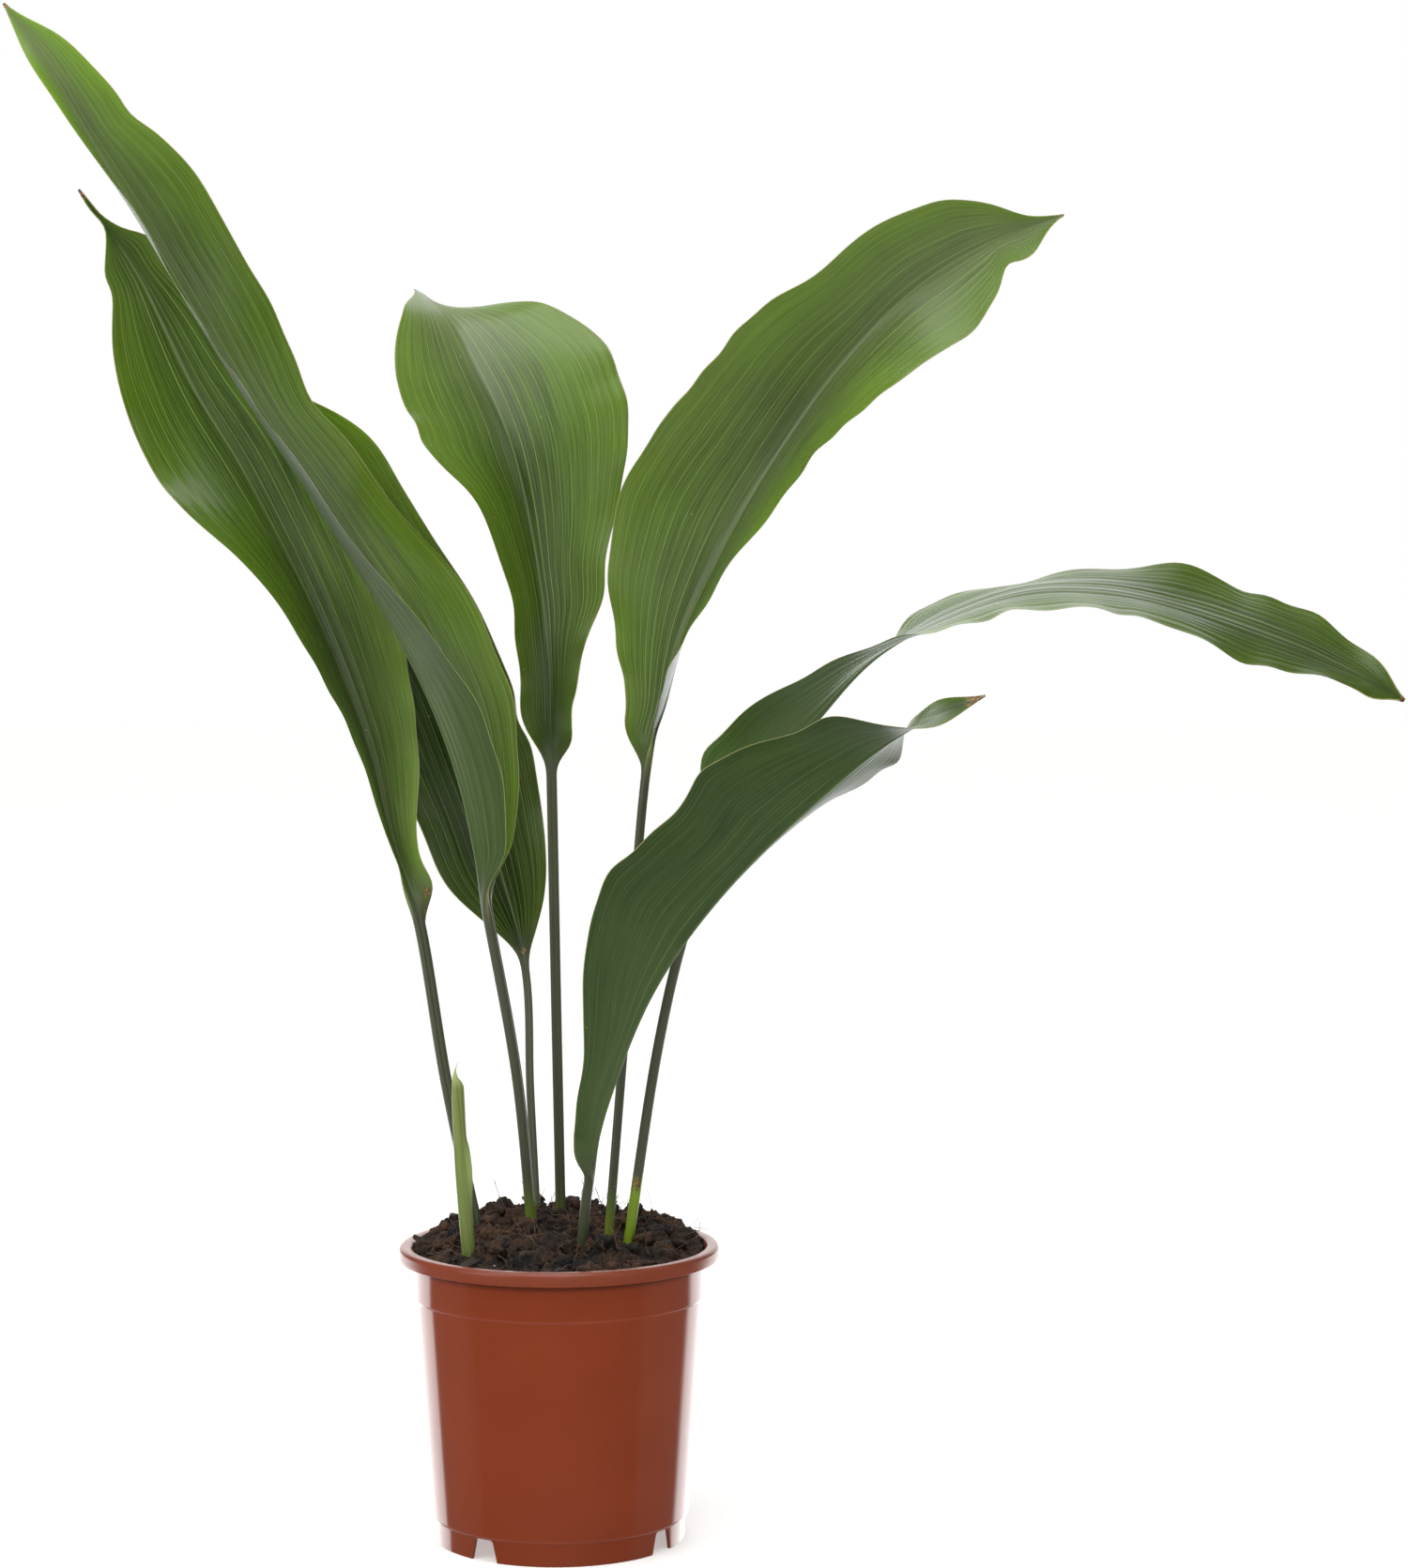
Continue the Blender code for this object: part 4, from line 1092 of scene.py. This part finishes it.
SOIL_SEGMENTS = 170
SOIL_BASE = FOOT_HEIGHT + 1.9 * MM
# The gap to the wall on top and at the base.
TOP_GAP, BASE_GAP = 0.6 * MM, 2.2 * MM
# The soil's lumps, crumbs and fine crumble: the height of each and how far apart they are.
LUMP, LUMP_APART = 7 * MM, 19 * MM
CRUMB, CRUMB_APART = 1.6 * MM, 6.5 * MM
CRUMBLE, CRUMBLE_APART, CRUMBLE_MEAN = 8 * MM, 9 * MM, 0.45
BACK_RISE = 8 * MM
# Sizes of the loose bits, in mm: the least and the most.
CLOD_SIZE = (3.5, 7.5)
LARGE_CRUMB_SIZE = (2.0, 4.5)
SMALL_CRUMB_SIZE = (0.5, 1.7)
EDGE_CRUMB_SIZE = (0.5, 1.4)
CHIP_SIZE = (3, 9)
FIBRE_LENGTH, FIBRE_RADIUS = (5, 20), (0.07, 0.2)
TWIG_LENGTH, TWIG_RADIUS = (9, 15), (0.15, 0.3)
PERLITE_SIZE = (0.4, 0.8)
LARGE_EVERY = 14
TWIGS = 9
PERLITE_GRAINS = 14
# Crumbs along the edge: how far they lie from the axis and below the lip's top, in mm.
# Nearer the axis than the corner they lie lower still, where the wall slopes away.
EDGE_BAND = (73.5, 78.3)
EDGE_DEPTH = (0.5, 3.5)
EDGE_CORNER = 76 * MM
TWIG_CIRCLE = 66 * MM


def inner_radius(z):
    """The pot's inner radius at a height."""
    (low, low_z), (high, high_z) = INSIDE_LOW, INSIDE_HIGH
    return low + (high - low) * (z - low_z) / (high_z - low_z)


def soil_height(x, y, look):
    """The soil's height at a place measured from the pot's axis."""
    radius = inner_radius(look.edge_height)
    share = min(sqrt(x * x + y * y) / radius, 1)
    heap = look.heap * (1 - share ** 2) + BACK_RISE * smoothstep(y / radius + 0.1)
    spot = Vector((x, y, 0))
    lumps = LUMP * noise.noise(spot / LUMP_APART) + CRUMB * noise.noise(spot / CRUMB_APART)
    fine = noise.turbulence(spot / CRUMBLE_APART, 5, True, noise_basis="PERLIN_ORIGINAL")
    return look.edge_height + heap + lumps * (1 - 0.7 * share ** 6) \
        + CRUMBLE * (fine - CRUMBLE_MEAN) * (1 - 0.6 * share ** 8)


def soil_body(look):
    """A grid drawn out to a disc, roughened on top and carried down to the pot's floor."""
    shape = bmesh.new()
    bmesh.ops.create_grid(shape, x_segments=SOIL_SEGMENTS, y_segments=SOIL_SEGMENTS, size=1)
    radius = inner_radius(look.edge_height) - TOP_GAP
    for vert in shape.verts:
        x, y = vert.co.x, vert.co.y
        vert.co.x = radius * x * sqrt(1 - y * y / 2)
        vert.co.y = radius * y * sqrt(1 - x * x / 2)
        vert.co.z = soil_height(vert.co.x, vert.co.y, look)
    rim = [e for e in shape.edges if e.is_boundary]
    made = bmesh.ops.extrude_edge_only(shape, edges=rim)["geom"]
    low = [v for v in made if isinstance(v, bmesh.types.BMVert)]
    shrink = (inner_radius(SOIL_BASE) - BASE_GAP) / radius
    for vert in low:
        vert.co = (vert.co.x * shrink, vert.co.y * shrink, SOIL_BASE)
    bmesh.ops.holes_fill(shape, edges=[e for e in shape.edges if e.is_boundary])
    bmesh.ops.recalc_face_normals(shape, faces=shape.faces)
    bmesh.ops.translate(shape, vec=AXIS, verts=shape.verts)
    return shape


def peat_material(look):
    """Moist peat and coir compost: matt, crumbly, nearly black in the hollows."""
    material, node, shader = new_material("moist_peat")
    place = node("TexCoord", output="Object")
    # Grains of 2.4 mm in clods of 17 mm.
    grains = node("TexNoise", {"Vector": place, "Scale": 420.0, "Detail": 6.0,
                               "Roughness": 0.65})
    clods = node("TexNoise", {"Vector": place, "Scale": 60.0, "Detail": 3.0})
    both = node("Math", (grains, clods), **TIMES)
    feed(shader, {
        "Base Color": node("ValToRGB", (both,), stops=((0.19, rgba(look.dark)),
                                                       (0.4, rgba(look.light)))),
        "Roughness": 0.93,
        "Normal": node("Bump", {"Strength": 0.8, "Distance": 0.6 * MM, "Height": grains}),
    })
    return material


def plain_bit_material(name, colour, roughness, spread=0.3):
    """A matt, rough bit of natural stuff whose colour varies every 5.6 mm or so."""
    material, node, shader = new_material(name)
    vary = node("TexNoise", {"Vector": node("TexCoord", output="Object"), "Scale": 180.0,
                             "Detail": 3.0})
    feed(shader, {
        "Base Color": node("ValToRGB", (vary,), stops=((0.3, rgba(colour, 1 - spread)),
                                                       (0.7, rgba(colour, 1 + spread)))),
        "Roughness": roughness,
        "Normal": node("Bump", {"Strength": 0.5, "Distance": 0.3 * MM, "Height": vary}),
    })
    return material


def scatter_place(draw, look, margin=3 * MM):
    """A random place on the soil, and its height."""
    reach = inner_radius(look.edge_height) - margin
    angle = draw.uniform(0, 2 * pi)
    radius = reach * sqrt(draw.random())
    x, y = radius * cos(angle), radius * sin(angle)
    return Vector((x, y, soil_height(x, y, look))) + AXIS


def drop(pile, draw, bit, centre, tilt=pi):
    """Turn a small bit at random, put it in its place and add it to the pile."""
    turn = Euler((draw.uniform(-tilt, tilt), draw.uniform(-tilt, tilt), draw.uniform(0, 2 * pi)))
    bmesh.ops.transform(bit, matrix=Matrix.LocRotScale(centre, turn, None), verts=bit.verts)
    merge(pile, bit)


def lump(draw, size, flatness, detail, bulge=0.6, knobs=1.1, rag=0):
    """One rough crumb near the origin, or with some rag a clod of matted peat."""
    bit = bmesh.new()
    bmesh.ops.create_icosphere(bit, subdivisions=detail, radius=size)
    seed = Vector([draw.random() for _ in range(3)]) * 50
    for vert in bit.verts:
        spot = vert.co / size
        push = 1 + bulge * noise.noise(spot * knobs + seed)
        if rag:
            push += rag * (noise.turbulence(spot * 2.2 + seed, 4, True) - 0.4)
        vert.co = vert.co * push
        vert.co.z *= flatness
    return bit


def bark_chip(draw, size):
    """One flat bit of bark with broken corners."""
    bit = bmesh.new()
    bmesh.ops.create_cube(bit, size=1)
    scale = (size, size * draw.uniform(0.3, 0.6), size * draw.uniform(0.12, 0.25))
    bmesh.ops.scale(bit, vec=scale, verts=bit.verts)
    for vert in bit.verts:
        vert.co += Vector([draw.uniform(-0.14, 0.14) * size for _ in range(3)])
    bmesh.ops.bevel(bit, geom=bit.edges[:], offset=0.04 * size, segments=1,
                    affect="EDGES", profile=0.5, material=-1)
    return bit


def bent_fibre(draw, size, thickness, steps=8):
    """One bent fibre: a small ring drawn out along a wandering line."""
    bit = bmesh.new()
    bmesh.ops.create_circle(bit, segments=4, radius=thickness, cap_ends=True)
    end = bit.faces[:]
    heading = Vector((0, 0, 1))
    bend = Vector((draw.uniform(-1, 1), draw.uniform(-1, 1), 0))
    for k in range(steps):
        made = bmesh.ops.extrude_face_region(bit, geom=end)["geom"]
        if k:
            bmesh.ops.delete(bit, geom=end, context="FACES_ONLY")
        end = [f for f in made if isinstance(f, bmesh.types.BMFace)]
        tip = [v for v in made if isinstance(v, bmesh.types.BMVert)]
        heading = (heading + bend * 0.2
                   + Vector([draw.uniform(-0.2, 0.2) for _ in range(3)])).normalized()
        bmesh.ops.translate(bit, vec=heading * (size / steps), verts=tip)
    bmesh.ops.recalc_face_normals(bit, faces=bit.faces)
    return bit


class PLANT_OT_soil(bpy.types.Operator):
    """Make the soil, with crumbs, bits of bark, fibres and a few white grains"""

    bl_idname = "plant.soil"
    bl_label = "Soil"

    def execute(self, context):
        look = context.scene.plant_soil
        draw = random.Random(7)

        def size(limits):
            """A random size in metres between two limits in mm."""
            return draw.uniform(*limits) * MM

        peat = peat_material(look)
        add_piece("peat_bed", soil_body(look), peat, "peat_soil", "soil")
        clods = bmesh.new()
        for _ in range(look.clods):
            across = size(CLOD_SIZE)
            bit = lump(draw, across, 0.75, 4, bulge=0.5, knobs=1.3, rag=0.35)
            spot = scatter_place(draw, look, 5 * MM) + Vector((0, 0, 0.2 * across))
            drop(clods, draw, bit, spot, tilt=0.4)
        add_piece("peat_clods", clods, peat, "peat_soil")

        crumbs = bmesh.new()
        for k in range(look.crumbs):
            large = k % LARGE_EVERY == 0
            across = size(LARGE_CRUMB_SIZE if large else SMALL_CRUMB_SIZE)
            bit = lump(draw, across, draw.uniform(0.55, 1), 2 if large else 1)
            drop(crumbs, draw, bit, scatter_place(draw, look))
        # Along the edge the crumbs lie against the lip and here and there on it.
        for _ in range(look.crumbs // 4):
            angle = draw.uniform(0, 2 * pi)
            radius = size(EDGE_BAND)
            spot = Vector((radius * cos(angle), radius * sin(angle), 0)) + AXIS
            spot.z = POT_HEIGHT - size(EDGE_DEPTH) - max(0, EDGE_CORNER - radius)
            drop(crumbs, draw, lump(draw, size(EDGE_CRUMB_SIZE), 0.8, 1), spot)
        add_piece("peat_crumbs", crumbs, peat, "peat_soil")

        chips = bmesh.new()
        for _ in range(look.chips):
            bit = bark_chip(draw, size(CHIP_SIZE))
            drop(chips, draw, bit, scatter_place(draw, look) + Vector((0, 0, 0.5 * MM)), tilt=0.6)
        bark = plain_bit_material("weathered_pine_bark", "#33261D", 0.85)
        add_piece("bark_chips", chips, bark, "peat_soil", smooth=False)

        fibres = bmesh.new()
        for _ in range(look.fibres):
            bit = bent_fibre(draw, size(FIBRE_LENGTH), size(FIBRE_RADIUS))
            drop(fibres, draw, bit, scatter_place(draw, look), tilt=1.7)
        # A few longer twigs stand up at the back edge.
        for _ in range(TWIGS):
            angle = radians(draw.uniform(8, 75))
            spot = Vector((TWIG_CIRCLE * cos(angle), TWIG_CIRCLE * sin(angle), 0))
            spot.z = soil_height(spot.x, spot.y, look)
            bit = bent_fibre(draw, size(TWIG_LENGTH), size(TWIG_RADIUS))
            drop(fibres, draw, bit, spot + AXIS, tilt=0.9)
        coir = plain_bit_material("coir_fibre", "#6E5540", 0.8, 0.5)
        add_piece("coir_fibres", fibres, coir, "peat_soil")

        grains = bmesh.new()
        for _ in range(PERLITE_GRAINS):
            bit = lump(draw, size(PERLITE_SIZE), 0.8, 2)
            drop(grains, draw, bit, scatter_place(draw, look))
        perlite = plain_bit_material("perlite", "#C9C4B8", 0.9, 0.1)
        add_piece("perlite_grains", grains, perlite, "peat_soil")
        return {"FINISHED"}


class PLANT_OT_rhizome(bpy.types.Operator):
    """Give the hidden rhizome its scaly skin"""

    bl_idname = "plant.rhizome"
    bl_label = "Rhizome"

    def execute(self, context):
        rhizome = frame["nodes"]["rhizome"]
        rhizome.data.materials.clear()
        rhizome.data.materials.append(plain_bit_material("scaly_rhizome_skin", "#8D744F", 0.7))
        return {"FINISHED"}


# --- Stage -----------------------------------------------------------------------------

WALL_BRIGHTNESS = 1.9
TABLE_GLARE = 3.0
SIDE_BRIGHTNESS = 0.25
FRONT_BRIGHTNESS = 0.1
WHITE = (1, 1, 1, 1)
FLOOR_RADIUS = 12.0
AIM_HEIGHT = 0.35
SENSOR = 36
# Each softbox's place, the width and height of its face in metres, and its brightness.
SOFTBOXES = {
    "overhead_softbox": ((-0.2, -0.3, 1.75), (1.7, 1.0), 3.6),
    "front_softbox": ((0.0, -2.6, 0.95), (1.6, 0.9), 1.4),
    "front_high_softbox": ((-0.2, -1.9, 2.2), (1.4, 0.9), 2.5),
    "left_softbox": ((-1.9, -1.4, 1.3), (1.4, 1.6), 2.6),
    "right_softbox": ((1.6, -1.6, 0.9), (0.8, 1.0), 1.6),
    "right_high_softbox": ((1.9, -0.1, 1.9), (1.0, 1.0), 1.0),
}


def add_softbox(name, place, size, brightness):
    """A flat light that faces the plant; brightness is that of its face."""
    lamp = bpy.data.lights.new(name, "AREA")
    lamp.shape = "RECTANGLE"
    lamp.size, lamp.size_y = size
    lamp.energy = brightness * size[0] * size[1] * pi
    light = bpy.data.objects.new(name, lamp)
    light.location = place
    aim = AXIS + Vector((0, 0, AIM_HEIGHT)) - Vector(place)
    light.rotation_euler = aim.to_track_quat("-Z", "Y").to_euler()
    light.visible_camera = False
    bpy.context.scene.collection.objects.link(light)


def add_room():
    """White all round to the eye. As light it is a bright wall behind the plant, dim sides
    and a dark front; below the horizon it is what gloss sees in place of the floor: a
    glaring table behind the pot. Angles are seen from above, from straight behind to the
    right."""
    world = bpy.data.worlds.new("white_studio")
    world.use_nodes = True
    nodes = world.node_tree.nodes
    node = partial(add_node, world.node_tree)
    direction = node("TexCoord", output="Generated")
    right, back, up = (node("SeparateXYZ", (direction,), output=axis) for axis in "XYZ")
    angle = node("Math", (right, back), operation="ARCTAN2")
    # Each part's brightness is the product of its fades: what is read, from where to where,
    # and its values there.
    wall = [(angle, radians(-32), radians(-22), 0, 1), (angle, radians(22), radians(32), 1, 0),
            (up, -0.03, 0, 0, 1), (up, 0.4, 0.8, WALL_BRIGHTNESS, 0.6 * WALL_BRIGHTNESS)]
    table = [(angle, radians(-60), radians(-57), 0, 1), (angle, radians(46), radians(56), 1, 0),
             (up, -0.03, 0, 1, 0), (up, -0.48, -0.34, 0.3, TABLE_GLARE)]
    front = [(up, -0.58, -0.44, 0.5, FRONT_BRIGHTNESS), (back, -0.3, -0.2, 1, 0)]
    sides = [(back, -0.3, -0.2, 0, SIDE_BRIGHTNESS)]
    total = 0.0
    for part in (wall, table, front, sides):
        light = 1.0
        for fade in part:
            light = node("Math", (light, node("MapRange", fade, **SMOOTH)), **TIMES)
        total = node("Math", (total, light), **PLUS)
    room = node("Background", {"Color": WHITE, "Strength": total})
    seen = nodes["Background"]
    feed(seen, {"Color": WHITE, "Strength": 1.0})
    eye = node("LightPath", output="Is Camera Ray")
    feed(nodes["World Output"], {"Surface": node("MixShader", (eye, room, seen.outputs[0]))})
    bpy.context.scene.world = world


def floor_material(look):
    """Matt white paper: pale, with the faintest tooth, lit a little more at the back."""
    material, node, shader = new_material("matt_white_paper")
    place = node("TexCoord", output="Object")
    depth = node("SeparateXYZ", (place,), output="Y")
    tooth = node("TexNoise", {"Vector": place, "Scale": 900.0})
    feed(shader, {
        "Base Color": rgba(look.floor),
        "Roughness": 0.9,
        "Specular IOR Level": 0.1,
        "Normal": node("Bump", {"Strength": 0.05, "Distance": 0.05 * MM, "Height": tooth}),
        "Emission Color": rgba(look.floor),
        "Emission Strength": node("MapRange", (depth, -0.2, 3.6, 0.46, 0.68), **SMOOTH),
    })
    return material


class PLANT_OT_stage(bpy.types.Operator):
    """Make the plain floor, the soft lights and the camera"""

    bl_idname = "plant.stage"
    bl_label = "Stage"

    def execute(self, context):
        look = context.scene.plant_stage
        shape = bmesh.new()
        bmesh.ops.create_circle(shape, cap_ends=True, segments=96, radius=FLOOR_RADIUS)
        floor = new_object("floor", shape)
        floor.data.materials.append(floor_material(look))
        floor.visible_glossy = False
        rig.stage(floor)
        add_room()
        for name, (place, size, brightness) in SOFTBOXES.items():
            add_softbox(name, place, size, brightness)
        lens = bpy.data.cameras.new("camera")
        lens.sensor_fit = "HORIZONTAL"
        lens.sensor_width = SENSOR
        lens.lens = look.lens
        camera = bpy.data.objects.new("camera", lens)
        camera.location = AXIS + Vector((look.camera_side, -look.camera_distance,
                                         look.camera_height))
        camera.rotation_euler = (pi / 2 - look.camera_pitch, 0, 0)
        context.scene.collection.objects.link(camera)
        context.scene.camera = camera
        context.scene.view_settings.view_transform = "Standard"
        return {"FINISHED"}


class PLANT_PT_panel(bpy.types.Panel):
    """The plant's pieces and their settings"""

    bl_label = "Cast iron plant"
    bl_idname = "PLANT_PT_panel"
    bl_space_type = "VIEW_3D"
    bl_region_type = "UI"
    bl_category = "Plant"

    def draw(self, context):
        for operator, group in STEPS:
            box = self.layout.box()
            box.operator(operator)
            settings = getattr(context.scene, group, None) if group else None
            for key in settings.bl_rna.properties.keys() if settings else ():
                if key not in {"rna_type", "name"}:
                    box.prop(settings, key)


STEPS = [
    ("plant.pot", "plant_pot"),
    ("plant.soil", "plant_soil"),
    ("plant.rhizome", ""),
    ("plant.leaves", "plant_leaves"),
    ("plant.shoot", "plant_shoot"),
    ("plant.stage", "plant_stage"),
]
GROUPS = {"plant_pot": PotSettings, "plant_leaves": LeafSettings, "plant_shoot": ShootSettings,
          "plant_soil": SoilSettings, "plant_stage": StageSettings}
CLASSES = [*GROUPS.values(), PLANT_OT_pot, PLANT_OT_soil, PLANT_OT_rhizome, PLANT_OT_leaves,
           PLANT_OT_shoot, PLANT_OT_stage, PLANT_PT_panel]


def register():
    for item in CLASSES:
        bpy.utils.register_class(item)
    for name, group in GROUPS.items():
        setattr(bpy.types.Scene, name, PointerProperty(type=group))


def unregister():
    for name in GROUPS:
        delattr(bpy.types.Scene, name)
    for item in reversed(CLASSES):
        bpy.utils.unregister_class(item)


def main():
    register()
    bpy.ops.plant.pot()
    bpy.ops.plant.soil()
    bpy.ops.plant.rhizome()
    bpy.ops.plant.leaves()
    bpy.ops.plant.shoot()
    bpy.ops.plant.stage()
    boxes = {"cad": CAD_BOX, "visual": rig.bounds()}
    plain = {key: [[float(c) for c in corner] for corner in box] for key, box in boxes.items()}
    with open("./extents.json", "w") as out:
        json.dump(plain, out)


if __name__ == "__main__":
    main()
